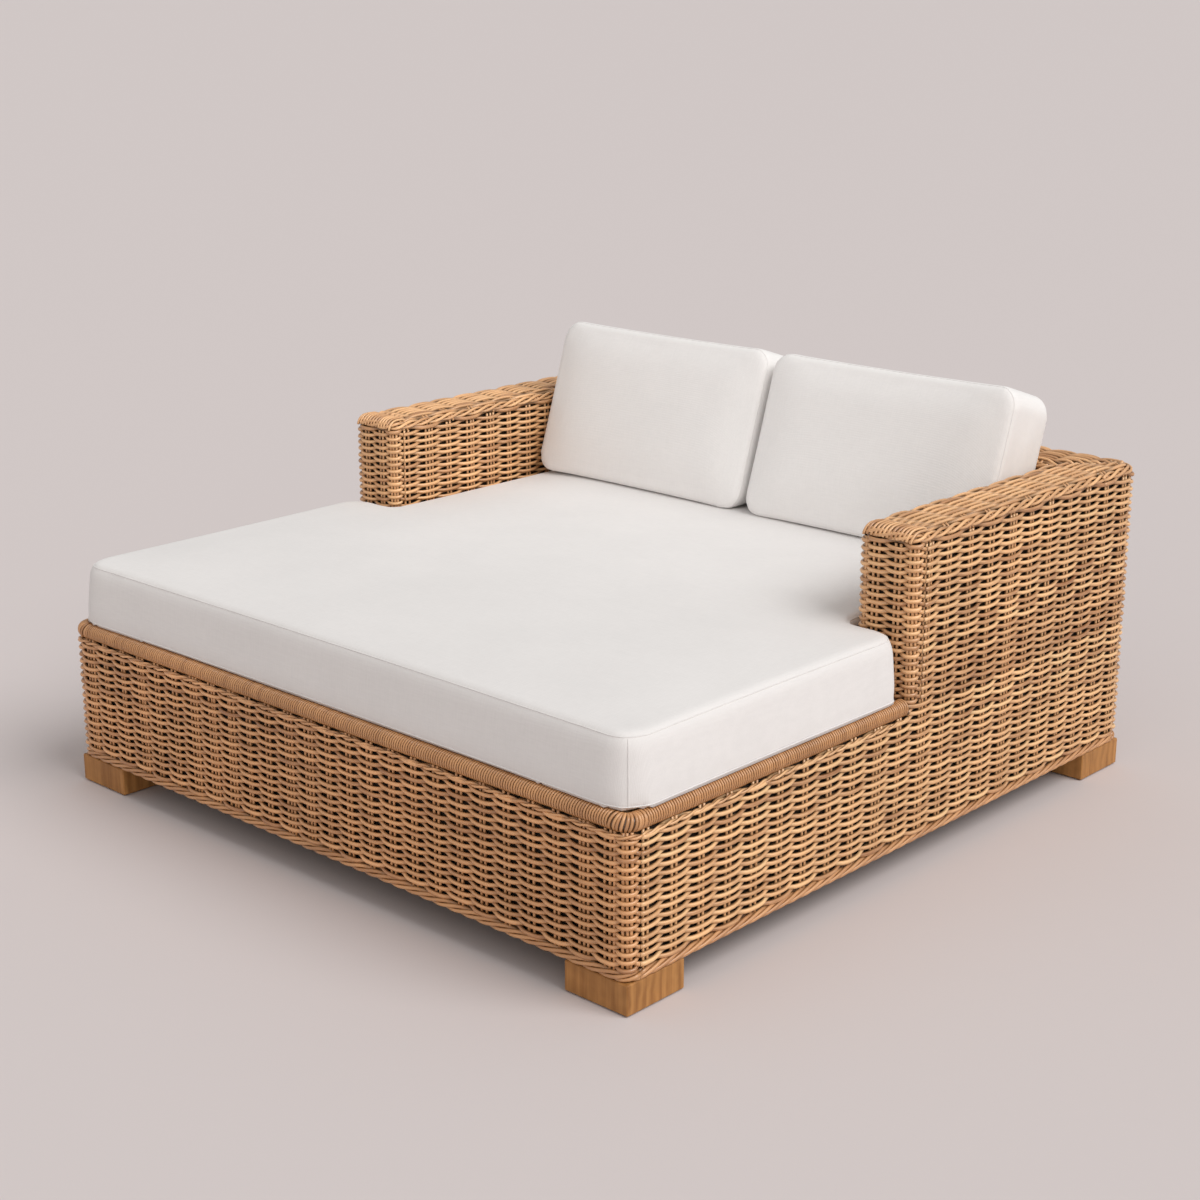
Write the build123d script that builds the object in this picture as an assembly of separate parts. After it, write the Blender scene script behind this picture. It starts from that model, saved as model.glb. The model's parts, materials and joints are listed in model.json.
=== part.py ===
"""Outdoor rattan daybed.

A woven box base and a low woven surround on a frame of round poles, with a slatted deck,
four oak block legs, one T-shaped seat cushion and two loose back cushions.

Millimetres, +Z up. The origin is on the floor under the middle of the footprint, and the
open front faces -Y. Left and right are those of a person who sits in it, so left is +X.
"""
import os
from math import cos, pi, radians, sin, sqrt, tan

from build123d import *

# Outside of the woven body
overall_width = 1600.0
overall_depth = 1620.0
surround_height = 690.0
rim_height = 362.0
arm_thickness = 145.0
back_thickness = 145.0
arm_setback = 795.0

# Woven skins
weave_thickness = 16.0
border_height = 20.0
rim_roll_radius = 17.5
bend_ease = 1.0

# Pole frame, with the gap left where one piece is fitted against another
pole_radius = 14.0
fit_gap = 0.3

# Deck
slat_thickness = 15.0
slat_width = 70.0
slat_end_gap = 5.0
bearer_width = 46.0
bearer_height = 60.0
front_slat_count = 8
rear_slat_count = 7

# Legs and what fastens them
leg_height = 60.0
leg_width = 147.0
leg_inset = 4.0
leg_edge = 2.0
plate_width = 110.0
plate_thickness = 5.0
screw_radius = 3.0
screw_length = 30.0
screw_head_radius = 6.0
screw_head_height = 3.0
screw_edge = 14.0
screw_post_gap = 16.0
pilot_gap = 0.05
hole_gap = 0.4
glide_radius = 22.0
glide_thickness = 5.0
glide_proud = 2.0

# Seat cushion
seat_side_setback = 25.0
seat_front_setback = 28.0
seat_arm_gap = 5.0
seat_seam_height = 487.0
seat_crown = 10.0
seat_crown_run = 150.0
seat_corner_radius = 45.0
seat_notch_radius = 26.0
seat_foot_radius = 16.0

# Back cushions
back_side_gap = 5.0
back_centre_gap = 4.0
back_rise = 384.0
back_boxing = 137.0
back_front_crown = 22.0
back_rear_crown = 19.0
back_crown_run = 120.0
back_corner_radius = 46.0
lean_angle = 18.0

# Every cushion has a cover with a wadding lining over a foam core
cover_thickness = 12.0
crown_steps = 5
foot_steps = 3
draw_in_share = 0.005
crown_corner_share = 0.3
notch_spread_share = 0.35

# Places that follow from the sizes above
half_width = overall_width / 2
half_depth = overall_depth / 2
front_y = -half_depth
rear_y = half_depth
arm_front_y = front_y + arm_setback
arm_inner_x = half_width - arm_thickness
back_inner_y = rear_y - back_thickness
corner_radius = 2 * rim_roll_radius + bend_ease
pole_inset = weave_thickness + pole_radius
edge_radius = pole_inset
post_inset = corner_radius - (corner_radius - pole_inset) / sqrt(2)

border_top = leg_height + border_height
plate_top = leg_height + plate_thickness
lower_rail_z = plate_top + pole_radius
rim_axis_z = rim_height - rim_roll_radius
skin_top = rim_axis_z - rim_roll_radius
rail_reach = rim_roll_radius + pole_radius + fit_gap
seat_rail_z = rim_axis_z - sqrt(rail_reach**2 - (pole_inset - rim_roll_radius) ** 2)
bearer_top = rim_height - slat_thickness
top_rail_z = surround_height - pole_inset
seat_top = seat_seam_height + seat_crown

parts = {}


def block(low, high):
    """A straight-sided block between its lowest and highest corners."""
    sizes = [b - a for a, b in zip(low, high)]
    middle = [(a + b) / 2 for a, b in zip(low, high)]
    return Pos(*middle) * Box(*sizes)


def pole(start, end, radius=pole_radius):
    """A straight round pole from one point to another."""
    run = Vector(*end) - Vector(*start)
    seat = (Align.CENTER, Align.CENTER, Align.MIN)
    return Plane(origin=start, z_dir=run) * Cylinder(radius, run.length, align=seat)


def domed_post(x, y, low_z, high_z, radius=pole_radius):
    """An upright pole with a rounded head whose centre is at high_z."""
    return pole((x, y, low_z), (x, y, high_z), radius) + Pos(x, y, high_z) * Sphere(radius)


def both_sides(name, shape):
    """Keeps a piece made for the left side and its mirror image on the right."""
    parts["left_" + name] = shape
    parts["right_" + name] = mirror(shape, about=Plane.YZ)


# Plans of the woven walls

def base_plan(inset):
    """The rounded rectangle of the base, drawn in by inset."""
    width = overall_width - 2 * inset
    depth = overall_depth - 2 * inset
    return RectangleRounded(width, depth, corner_radius - inset)


def surround_plan(inset):
    """The U of two arms and the back, drawn in by inset on every face."""
    outer_x = half_width - inset
    inner_x = arm_inner_x + inset
    end_y = arm_front_y + inset
    inner_y = back_inner_y + inset
    outer_y = rear_y - inset
    right_side = [(-inner_x, end_y), (-outer_x, end_y), (-outer_x, outer_y)]
    left_side = [(outer_x, outer_y), (outer_x, end_y), (inner_x, end_y)]
    notch = [(inner_x, inner_y), (-inner_x, inner_y)]
    plan = make_face(Polyline(*right_side, *left_side, *notch, close=True).edges())
    inner_corners = [Vector(x, y) for x, y in notch]
    rounded = [v for v in plan.vertices() if min((v.center() - c).length for c in inner_corners) > fit_gap]
    return fillet(rounded, corner_radius - inset)


def wall(plan, low_z, high_z):
    """A woven wall of one skin thickness that stands on a plan."""
    ring = plan(0) - plan(weave_thickness)
    return Pos(0, 0, low_z) * extrude(ring, amount=high_z - low_z)


def surround_block(inset, low_z):
    """The surround as a solid with rounded top edges, drawn in by inset."""
    height = surround_height - inset - low_z
    solid = Pos(0, 0, low_z) * extrude(surround_plan(inset), amount=height)
    top = solid.faces().sort_by(Axis.Z)[-1]
    return fillet(top.edges(), edge_radius - inset)


def top_zone(corner_points):
    """The space over an area of the surround's plan, from the top rails to the top."""
    area = make_face(Polyline(*corner_points, close=True).edges())
    return Pos(0, 0, top_rail_z) * extrude(area, amount=surround_height - top_rail_z)


# Woven skins

def base_skins():
    """Front, rear and side skins, and the braided border under each."""
    front_zone = block((-half_width, front_y, 0), (half_width, front_y + corner_radius, surround_height))
    rear_zone = block((-half_width, rear_y - corner_radius, 0), (half_width, rear_y, surround_height))
    parts["front_skin"] = wall(base_plan, border_top, skin_top) & front_zone
    parts["rear_skin"] = wall(base_plan, border_top, top_rail_z) & rear_zone
    border = wall(base_plan, leg_height, border_top)
    parts["front_border"] = border & front_zone
    parts["rear_border"] = border & rear_zone

    inner_x = half_width - weave_thickness
    start_y = front_y + corner_radius
    end_y = rear_y - corner_radius
    turn_y = arm_front_y + corner_radius
    low = block((inner_x, start_y, border_top), (half_width, end_y, skin_top))
    shoulder = block((inner_x, arm_front_y, skin_top), (half_width, turn_y, bearer_top))
    high = block((inner_x, turn_y, skin_top), (half_width, end_y, top_rail_z))
    both_sides("side_skin", low + shoulder + high)
    both_sides("side_border", block((inner_x, start_y, leg_height), (half_width, end_y, border_top)))


def surround_skins():
    """Skins on the arms' fronts and insides, on the back's inside and over the tops.

    The tops of the arms and of the back meet in a mitre at each rear corner.
    """
    turn_y = arm_front_y + corner_radius
    front_zone = block((0, arm_front_y, 0), (half_width, turn_y, surround_height))
    both_sides("arm_front_skin", wall(surround_plan, bearer_top, top_rail_z) & front_zone)

    lining_x = arm_inner_x + weave_thickness
    lining_y = back_inner_y + weave_thickness
    arm_lining = block((arm_inner_x, turn_y, rim_height), (lining_x, lining_y, top_rail_z))
    both_sides("arm_inner_skin", arm_lining)
    back_low = (-arm_inner_x, back_inner_y, rim_height)
    parts["back_inner_skin"] = block(back_low, (arm_inner_x, lining_y, top_rail_z))

    cap = surround_block(0, rim_height) - surround_block(weave_thickness, rim_height)
    arm_front = [(arm_inner_x, arm_front_y), (half_width, arm_front_y)]
    left_mitre = [(half_width, rear_y), (arm_inner_x, back_inner_y)]
    right_mitre = [(-arm_inner_x, back_inner_y), (-half_width, rear_y)]
    both_sides("arm_top_skin", cap & top_zone(arm_front + left_mitre))
    parts["back_top_skin"] = cap & top_zone(left_mitre + right_mitre)


def rim_rolls():
    """Wound rolls along the top of the base, in front of the arms."""
    roll_x = half_width - rim_roll_radius
    roll_y = front_y + rim_roll_radius
    turn_x = half_width - corner_radius
    turn_y = front_y + corner_radius
    roll = pole((-turn_x, roll_y, rim_axis_z), (turn_x, roll_y, rim_axis_z), rim_roll_radius)
    for side, start_angle in ((1, -90), (-1, 180)):
        bend = Torus(corner_radius - rim_roll_radius, rim_roll_radius, major_angle=90, align=Align.NONE)
        roll += Pos(side * turn_x, turn_y, rim_axis_z) * Rot(0, 0, start_angle) * bend
    parts["front_rim_roll"] = roll
    end = (roll_x, arm_front_y - fit_gap, rim_axis_z)
    both_sides("rim_roll", pole((roll_x, turn_y, rim_axis_z), end, rim_roll_radius))


# Pole frame

def posts(radius):
    """The upright poles on the left side, as a table of name to solid, with a given radius."""
    outer_x = half_width - post_inset
    inner_x = arm_inner_x + post_inset
    arm_y = arm_front_y + post_inset
    corner_x = arm_inner_x + pole_inset
    corner_y = back_inner_y + pole_inset
    return {
        "front_corner_post": domed_post(outer_x, front_y + post_inset, plate_top, seat_rail_z, radius),
        "rear_corner_post": domed_post(outer_x, rear_y - post_inset, plate_top, top_rail_z, radius),
        "arm_outer_post": domed_post(outer_x, arm_y, seat_rail_z, top_rail_z, radius),
        "arm_inner_post": domed_post(inner_x, arm_y, bearer_top, top_rail_z, radius),
        "back_inner_post": domed_post(corner_x, corner_y, bearer_top, top_rail_z, radius),
    }


def frame_poles():
    """Posts and rails. A rail is coped round the posts at its ends."""
    rail_end = pole_inset + pole_radius
    outer_x = half_width - rail_end
    rail_x = half_width - pole_inset
    rail_front_y = front_y + pole_inset
    rail_rear_y = rear_y - pole_inset
    arm_y = arm_front_y + rail_end
    lining_x = arm_inner_x + pole_inset
    lining_y = back_inner_y + pole_inset
    side_start = front_y + rail_end
    side_end = rear_y - rail_end
    lining_end_x = arm_inner_x + weave_thickness
    lining_end_y = back_inner_y + weave_thickness

    uprights = posts(pole_radius)
    copes = posts(pole_radius + fit_gap)

    def coped(rail, *names):
        for name in names:
            rail = rail - copes[name] - mirror(copes[name], about=Plane.YZ)
        return rail

    for level, z in (("lower", lower_rail_z), ("seat", seat_rail_z)):
        front = pole((-outer_x, rail_front_y, z), (outer_x, rail_front_y, z))
        rear = pole((-outer_x, rail_rear_y, z), (outer_x, rail_rear_y, z))
        side = pole((rail_x, side_start, z), (rail_x, side_end, z))
        parts[f"front_{level}_rail"] = coped(front, "front_corner_post")
        parts[f"rear_{level}_rail"] = coped(rear, "rear_corner_post")
        both_sides(f"{level}_rail", coped(side, "front_corner_post", "rear_corner_post"))

    z = top_rail_z
    rear_top = pole((-outer_x, rail_rear_y, z), (outer_x, rail_rear_y, z))
    back_top = pole((-lining_end_x, lining_y, z), (lining_end_x, lining_y, z))
    arm_outer = pole((rail_x, arm_y, z), (rail_x, side_end, z))
    arm_inner = pole((lining_x, arm_y, z), (lining_x, lining_end_y, z))
    parts["rear_top_rail"] = coped(rear_top, "rear_corner_post")
    parts["back_inner_rail"] = coped(back_top, "back_inner_post")
    both_sides("arm_outer_rail", coped(arm_outer, "arm_outer_post", "rear_corner_post"))
    both_sides("arm_inner_rail", coped(arm_inner, "arm_inner_post", "back_inner_post"))

    saddle = pole((rail_x, side_start, seat_rail_z), (rail_x, side_end, seat_rail_z), pole_radius + fit_gap)
    uprights["arm_outer_post"] -= saddle
    for name, post in uprights.items():
        both_sides(name, post)


# Deck

def deck():
    """Bearers from front to back, and slats across them, short ones between the arms."""
    low_y = front_y + 2 * rim_roll_radius + fit_gap
    high_y = rear_y - pole_inset
    bearer_low = bearer_top - bearer_height
    reach = arm_inner_x + bearer_width
    notch_radius = pole_radius + fit_gap
    rails = []
    for y in (front_y + pole_inset, high_y):
        rails.append(pole((-half_width, y, seat_rail_z), (half_width, y, seat_rail_z), notch_radius))
    side = block((arm_inner_x, low_y, bearer_low), (reach, high_y, bearer_top))
    middle = block((-bearer_width / 2, low_y, bearer_low), (bearer_width / 2, high_y, bearer_top))
    both_sides("bearer", side - rails[0] - rails[1])
    parts["centre_bearer"] = middle - rails[0] - rails[1]

    slats = []
    long_half = half_width - 2 * rim_roll_radius - slat_end_gap
    short_half = arm_inner_x + weave_thickness
    front_zone = (low_y + slat_end_gap, arm_front_y - slat_end_gap, long_half, front_slat_count)
    rear_low = arm_front_y + corner_radius + slat_end_gap
    rear_zone = (rear_low, back_inner_y + weave_thickness, short_half, rear_slat_count)
    for start, end, half, count in (front_zone, rear_zone):
        pitch = (end - start - slat_width) / (count - 1)
        for index in range(count):
            y = start + index * pitch
            slats.append(block((-half, y, bearer_top), (half, y + slat_width, rim_height)))
    parts["deck_slats"] = Compound(slats)


# Legs

def corners():
    """The four corners of the footprint, as signs of X and Y with the leg's name."""
    return (
        ("front_left_leg", 1, -1),
        ("front_right_leg", -1, -1),
        ("rear_left_leg", 1, 1),
        ("rear_right_leg", -1, 1),
    )


def at_corner(side, end, inset_x, inset_y, z):
    """A place at one corner, measured inwards from the faces of the base."""
    return Pos(side * (half_width - inset_x), end * (half_depth - inset_y), z)


def legs():
    """Block legs, each with a glide under it and a plate screwed on top."""
    plate_edge = corner_radius - (corner_radius - weave_thickness) / sqrt(2) + fit_gap
    plate_middle = plate_edge + plate_width / 2
    near = post_inset + pole_radius + screw_post_gap
    far = plate_edge + plate_width - screw_edge
    screw_places = [(a, b) for a in (near, far) for b in (near, far)]
    leg_middle = leg_inset + leg_width / 2
    block_height = leg_height - glide_proud
    screw_low = plate_top - screw_length
    upwards = (Align.CENTER, Align.CENTER, Align.MIN)
    recess = Cylinder(glide_radius + pilot_gap, glide_thickness - glide_proud, align=upwards)
    pilot = Cylinder(screw_radius + pilot_gap, screw_length + fit_gap, align=upwards)
    clear_hole = Cylinder(screw_radius + hole_gap, 2 * plate_thickness)
    shank = Cylinder(screw_radius, screw_length, align=upwards)
    head = Pos(0, 0, screw_length) * Cylinder(screw_head_radius, screw_head_height, align=upwards)
    plates = []
    screws = []
    glides = []
    for name, side, end in corners():
        leg = at_corner(side, end, leg_middle, leg_middle, glide_proud) * Box(
            leg_width, leg_width, block_height, align=upwards
        )
        leg = chamfer(leg.edges(), leg_edge)
        leg -= at_corner(side, end, leg_middle, leg_middle, glide_proud) * recess
        plate = at_corner(side, end, plate_middle, plate_middle, leg_height) * Box(
            plate_width, plate_width, plate_thickness, align=upwards
        )
        for inset_x, inset_y in screw_places:
            place = at_corner(side, end, inset_x, inset_y, 0)
            leg -= place * Pos(0, 0, screw_low - fit_gap) * pilot
            plate -= place * Pos(0, 0, leg_height) * clear_hole
            screws.append(place * Pos(0, 0, screw_low) * (shank + head))
        parts[name] = leg
        plates.append(plate)
        glides.append(
            at_corner(side, end, leg_middle, leg_middle, 0)
            * Cylinder(glide_radius, glide_thickness, align=upwards)
        )
    parts["leg_plates"] = Compound([solid for plate in plates for solid in plate.solids()])
    parts["leg_screws"] = Compound([solid for screw in screws for solid in screw.solids()])
    parts["leg_glides"] = Compound([solid for glide in glides for solid in glide.solids()])


# Cushions

def drawn_outline(corner_points, radii):
    """A closed outline whose sides pull in between rounded corners, as sewn cloth does.

    The points run anticlockwise, and radii holds the rounding of each corner.
    """
    edges = []
    count = len(corner_points)
    for index, start in enumerate(corner_points):
        end = corner_points[(index + 1) % count]
        along = Vector(*end) - Vector(*start)
        inwards = Vector(-along.Y, along.X) * draw_in_share
        middle = (Vector(*start) + Vector(*end)) / 2 + inwards
        edges.append(ThreePointArc(start, middle, end))
    face = make_face(edges)
    for point, radius in zip(corner_points, radii):
        nearest = min(face.vertices(), key=lambda v: (v.center() - Vector(*point)).length)
        face = fillet(nearest, radius)
    return face


def crown_levels(run, rise):
    """Inset and height of each ring of a crown, from the seam up to its flat top."""
    levels = []
    for step in range(crown_steps + 1):
        angle = pi / 2 * step / crown_steps
        levels.append((run * (1 - cos(angle)), rise * sin(angle)))
    return levels


def seat_section(inset, z):
    """The T of the seat cushion, drawn in by inset, at height z."""
    wide = half_width - seat_side_setback - inset
    narrow = arm_inner_x - seat_arm_gap - inset
    start_y = front_y + seat_front_setback + inset
    wing_y = arm_front_y - seat_arm_gap - inset
    end_y = back_inner_y - seat_arm_gap - inset
    front = [(-wide, start_y), (wide, start_y), (wide, wing_y), (narrow, wing_y)]
    rear = [(narrow, end_y), (-narrow, end_y), (-narrow, wing_y), (-wide, wing_y)]
    shrink_share = 1 - (1 - crown_corner_share) * inset / seat_crown_run
    outer = seat_corner_radius * shrink_share
    notch = seat_notch_radius + notch_spread_share * inset
    radii = [outer, outer, outer, notch, outer, outer, notch, outer]
    return Pos(0, 0, z) * drawn_outline(front + rear, radii)


def seat_form(shrink):
    """The seat cushion's solid, drawn in by shrink all round."""
    low_z = rim_height + fit_gap + shrink
    seam_z = seat_seam_height - shrink
    foot = []
    for step in range(foot_steps + 1):
        angle = pi / 2 * step / foot_steps
        inset = shrink + seat_foot_radius * (1 - sin(angle))
        foot.append(seat_section(inset, low_z + seat_foot_radius * (1 - cos(angle))))
    band = [seat_section(shrink, low_z + seat_foot_radius), seat_section(shrink, seam_z)]
    crown = [seat_section(shrink + inset, seam_z + rise) for inset, rise in crown_levels(seat_crown_run, seat_crown)]
    return loft(foot) + loft(band) + loft(crown)


def back_plane(offset):
    """A plane along the lean, offset backwards from the front seam, with its Y up the lean."""
    lean = radians(lean_angle)
    backwards = Vector(0, cos(lean), -sin(lean))
    edge_centre = Vector(0, back_inner_y + edge_radius, top_rail_z)
    touch = edge_centre.dot(backwards) - edge_radius - fit_gap
    front = touch - back_rear_crown - back_boxing
    seat_z = seat_top + fit_gap
    foot_y = (front + seat_z * sin(lean)) / cos(lean)
    origin = Vector(0, foot_y, seat_z) + backwards * offset
    return Plane(origin=origin, x_dir=(1, 0, 0), z_dir=backwards * -1)


def back_section(inset, offset):
    """One outline of a back cushion, whose foot follows the seat as it goes back."""
    low_x = back_centre_gap / 2 + inset
    high_x = arm_inner_x - back_side_gap - inset
    low = offset * tan(radians(lean_angle)) + inset
    high = back_rise - inset
    points = [(low_x, low), (high_x, low), (high_x, high), (low_x, high)]
    shrink_share = 1 - (1 - crown_corner_share) * inset / back_crown_run
    radii = [back_corner_radius * shrink_share] * len(points)
    return back_plane(offset) * drawn_outline(points, radii)


def back_form(shrink):
    """The left back cushion's solid, drawn in by shrink all round."""
    rear_offset = back_boxing - shrink
    rear = [
        back_section(shrink + inset, rear_offset + rise)
        for inset, rise in crown_levels(back_crown_run, back_rear_crown)
    ]
    front = [
        back_section(shrink + inset, shrink - rise)
        for inset, rise in crown_levels(back_crown_run, back_front_crown)
    ]
    band = [back_section(shrink, rear_offset), back_section(shrink, shrink)]
    return loft(rear) + loft(band) + loft(front)


def cushions():
    """Seat and back cushions, each a hollow cover round a core."""
    core_shrink = cover_thickness + fit_gap
    parts["seat_cushion_cover"] = seat_form(0) - seat_form(cover_thickness)
    parts["seat_cushion_core"] = seat_form(core_shrink)
    both_sides("back_cushion_cover", back_form(0) - back_form(cover_thickness))
    both_sides("back_cushion_core", back_form(core_shrink))


base_skins()
surround_skins()
rim_rolls()
frame_poles()
deck()
legs()
cushions()

os.makedirs("parts", exist_ok=True)
for name, shape in parts.items():
    export_step(shape, f"parts/{name}.step")
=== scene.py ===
"""Looks of the outdoor rattan daybed: woven cane, wound rim, braided foot, oak blocks and linen cushions.

Metres, +Z up, in the same frame as the solids. The open front faces -Y, and the sitter's left is +X.
"""

import json
from math import cos, pi, radians, sin, sqrt, tau

import bpy
import numpy as np
from bpy.props import FloatProperty, FloatVectorProperty, IntProperty, PointerProperty
from mathutils import Matrix, Vector

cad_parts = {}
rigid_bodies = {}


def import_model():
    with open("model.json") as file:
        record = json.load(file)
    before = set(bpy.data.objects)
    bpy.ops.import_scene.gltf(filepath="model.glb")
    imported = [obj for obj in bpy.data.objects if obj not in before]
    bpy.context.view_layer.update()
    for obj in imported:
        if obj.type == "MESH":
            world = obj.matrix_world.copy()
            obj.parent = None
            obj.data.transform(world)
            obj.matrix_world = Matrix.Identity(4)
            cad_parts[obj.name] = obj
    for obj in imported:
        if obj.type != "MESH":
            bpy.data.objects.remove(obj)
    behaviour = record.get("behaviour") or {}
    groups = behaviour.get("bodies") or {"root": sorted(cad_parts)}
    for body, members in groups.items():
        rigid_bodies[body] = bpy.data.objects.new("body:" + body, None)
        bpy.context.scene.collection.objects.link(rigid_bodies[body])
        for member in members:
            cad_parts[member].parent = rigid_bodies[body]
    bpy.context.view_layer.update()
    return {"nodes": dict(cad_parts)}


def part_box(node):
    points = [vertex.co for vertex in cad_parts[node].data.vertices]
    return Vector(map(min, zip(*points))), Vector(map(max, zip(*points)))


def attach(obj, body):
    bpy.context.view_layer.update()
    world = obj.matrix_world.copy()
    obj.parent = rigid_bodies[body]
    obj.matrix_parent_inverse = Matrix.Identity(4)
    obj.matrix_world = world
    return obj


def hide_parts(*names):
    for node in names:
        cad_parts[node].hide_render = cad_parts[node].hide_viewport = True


bl_info = {
    "name": "Outdoor rattan daybed",
    "version": (1, 0, 0),
    "blender": (4, 5, 0),
    "location": "3D View > Sidebar > Daybed",
    "description": "Weaves, winds and upholsters a rattan daybed around its frame",
    "category": "Object",
}

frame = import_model()
BODY_LOW, BODY_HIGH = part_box("front_skin")
SURROUND_LOW, SURROUND_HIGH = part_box("left_arm_top_skin")
ROLL_LOW, ROLL_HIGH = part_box("front_rim_roll")

HALF_WIDTH = BODY_HIGH.x
FRONT_Y = BODY_LOW.y
REAR_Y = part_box("rear_skin")[1].y
FOOT_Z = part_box("front_border")[0].z
BORDER_TOP = BODY_LOW.z
RIM_Z = ROLL_HIGH.z
TOP_Z = SURROUND_HIGH.z
RAIL_Z = SURROUND_LOW.z
ARM_FRONT_Y = SURROUND_LOW.y
ARM_INNER_X = SURROUND_LOW.x
BACK_INNER_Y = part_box("back_inner_skin")[0].y
ROLL_RADIUS = (ROLL_HIGH.z - ROLL_LOW.z) / 2
ROLL_Z = (ROLL_LOW.z + ROLL_HIGH.z) / 2
CORNER_RADIUS = BODY_HIGH.y - FRONT_Y
EDGE_RADIUS = TOP_Z - RAIL_Z
ARM_THICKNESS = HALF_WIDTH - ARM_INNER_X
SKIN_TOP = BODY_HIGH.z
ARM_FRONT_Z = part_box("left_arm_front_skin")[0].z
BACK_LEAN = radians(18.0)
LEAN_BACK = (0.0, cos(BACK_LEAN), -sin(BACK_LEAN))
QUARTER = pi / 2
UP = np.array([0.0, 0.0, 1.0])


# Settings

class WeaveSettings(bpy.types.PropertyGroup):
    """Sizes of the woven cane."""

    strand_radius: FloatProperty(
        name="Strand radius", description="Radius of a woven strand", default=0.0042, unit="LENGTH")
    strand_swing: FloatProperty(
        name="Strand swing", description="How far a strand swings to pass a column", default=0.0052,
        unit="LENGTH")
    row_pitch: FloatProperty(
        name="Row pitch", description="Height from one row to the next", default=0.0077,
        unit="LENGTH")
    row_dip: FloatProperty(
        name="Row dip", description="How far a strand drops in front of a column", default=0.0044,
        unit="LENGTH")
    rod_radius: FloatProperty(
        name="Rod radius", description="Radius of an upright rod", default=0.0031, unit="LENGTH")
    rod_spread: FloatProperty(
        name="Rod spread", description="Distance between the two rods of a column", default=0.0108,
        unit="LENGTH")
    skin_inset: FloatProperty(
        name="Skin inset", description="Depth of the rods under the outer face", default=0.0086,
        unit="LENGTH")
    # The weave's dark inner face is a near-black sheet of painted shade for the strands behind and the hollow
    # within.
    shade_sheet_depth: FloatProperty(
        name="Lining depth", description="Depth of the weave's dark inner face", default=0.0150,
        unit="LENGTH")
    shade_sheet_thickness: FloatProperty(
        name="Lining thickness", description="Thickness of the weave's dark inner face",
        default=0.0012, unit="LENGTH")
    looseness: FloatProperty(
        name="Looseness", description="Strength of the hand-made unevenness", default=1.25, min=0.0,
        max=2.0)
    seed: IntProperty(name="Seed", description="Seed of the unevenness", default=7)


class EdgeSettings(bpy.types.PropertyGroup):
    """Sizes of the wound rim, the foot braid and the edges of the arms."""

    cane_radius: FloatProperty(
        name="Cane radius", description="Radius of the cane wound round the rim", default=0.0025,
        unit="LENGTH")
    cane_pitch: FloatProperty(
        name="Cane pitch", description="Distance from one turn to the next", default=0.0061,
        unit="LENGTH")
    braid_radius: FloatProperty(
        name="Braid strand radius", description="Radius of a strand of the foot braid",
        default=0.0038, unit="LENGTH")
    braid_lay: FloatProperty(
        name="Braid lay", description="Length in which a strand goes once round", default=0.150,
        unit="LENGTH")
    edge_lay: FloatProperty(
        name="Edge lay", description="Lay of the cord along the top edges", default=0.126,
        unit="LENGTH")
    bind_pitch: FloatProperty(
        name="Binding pitch", description="Distance between strands bound over an arm's end",
        default=0.0086, unit="LENGTH")


class CushionSettings(bpy.types.PropertyGroup):
    """Filling of the cushions."""

    seat_cell: FloatProperty(
        name="Seat cell", description="Cell size of the seat cover before it is filled",
        default=0.014, unit="LENGTH")
    back_cell: FloatProperty(
        name="Back cell", description="Cell size of a back cover before it is filled",
        default=0.009, unit="LENGTH")
    start_inset: FloatProperty(
        name="Start inset", description="How much smaller a cover is before it is filled",
        default=0.004, unit="LENGTH")
    seat_draw: FloatProperty(
        name="Seat draw", description="Furthest that the seat's cloth is drawn in", default=0.0008,
        unit="LENGTH")
    back_draw: FloatProperty(
        name="Back draw", description="Furthest that a back cushion's cloth is drawn in",
        default=0.0035, unit="LENGTH")
    seat_cap: FloatProperty(
        name="Seat swell limit", description="Furthest that the seat's cloth may move",
        default=0.010, unit="LENGTH")
    back_cap: FloatProperty(
        name="Back swell limit", description="Furthest that a back cushion's cloth may move",
        default=0.010, unit="LENGTH")
    pressure: FloatProperty(name="Pressure", description="Pressure of the filling", default=4.0)
    seam_radius: FloatProperty(
        name="Seam radius", description="Radius of the folded seam", default=0.0011, unit="LENGTH")


class FinishSettings(bpy.types.PropertyGroup):
    """Colours of the materials."""

    cane_light: FloatVectorProperty(
        name="Light cane", description="Lightest cane", subtype="COLOR", size=3, min=0, max=1,
        default=(0.86, 0.485, 0.225))
    cane_dark: FloatVectorProperty(
        name="Dark cane", description="Darkest cane", subtype="COLOR", size=3, min=0, max=1,
        default=(0.37, 0.155, 0.055))
    oak_light: FloatVectorProperty(
        name="Light oak", description="Light grain of the feet", subtype="COLOR", size=3, min=0,
        max=1, default=(0.50, 0.238, 0.074))
    oak_dark: FloatVectorProperty(
        name="Dark oak", description="Dark grain of the feet", subtype="COLOR", size=3, min=0,
        max=1, default=(0.31, 0.132, 0.036))
    deck_light: FloatVectorProperty(
        name="Light slat", description="Light grain of the deck", subtype="COLOR", size=3, min=0,
        max=1, default=(0.56, 0.40, 0.24))
    deck_dark: FloatVectorProperty(
        name="Dark slat", description="Dark grain of the deck", subtype="COLOR", size=3, min=0,
        max=1, default=(0.40, 0.26, 0.14))
    linen: FloatVectorProperty(
        name="Linen", description="Cloth of the cushions", subtype="COLOR", size=3, min=0, max=1,
        default=(0.805, 0.781, 0.768))
    # The back linen is the seat's cloth made paler, as painted light on the back cushions' faces.
    back_linen_painted_light: FloatVectorProperty(
        name="Back linen", description="Cloth of the back cushions", subtype="COLOR", size=3, min=0,
        max=1, default=(0.878, 0.858, 0.845))


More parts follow.
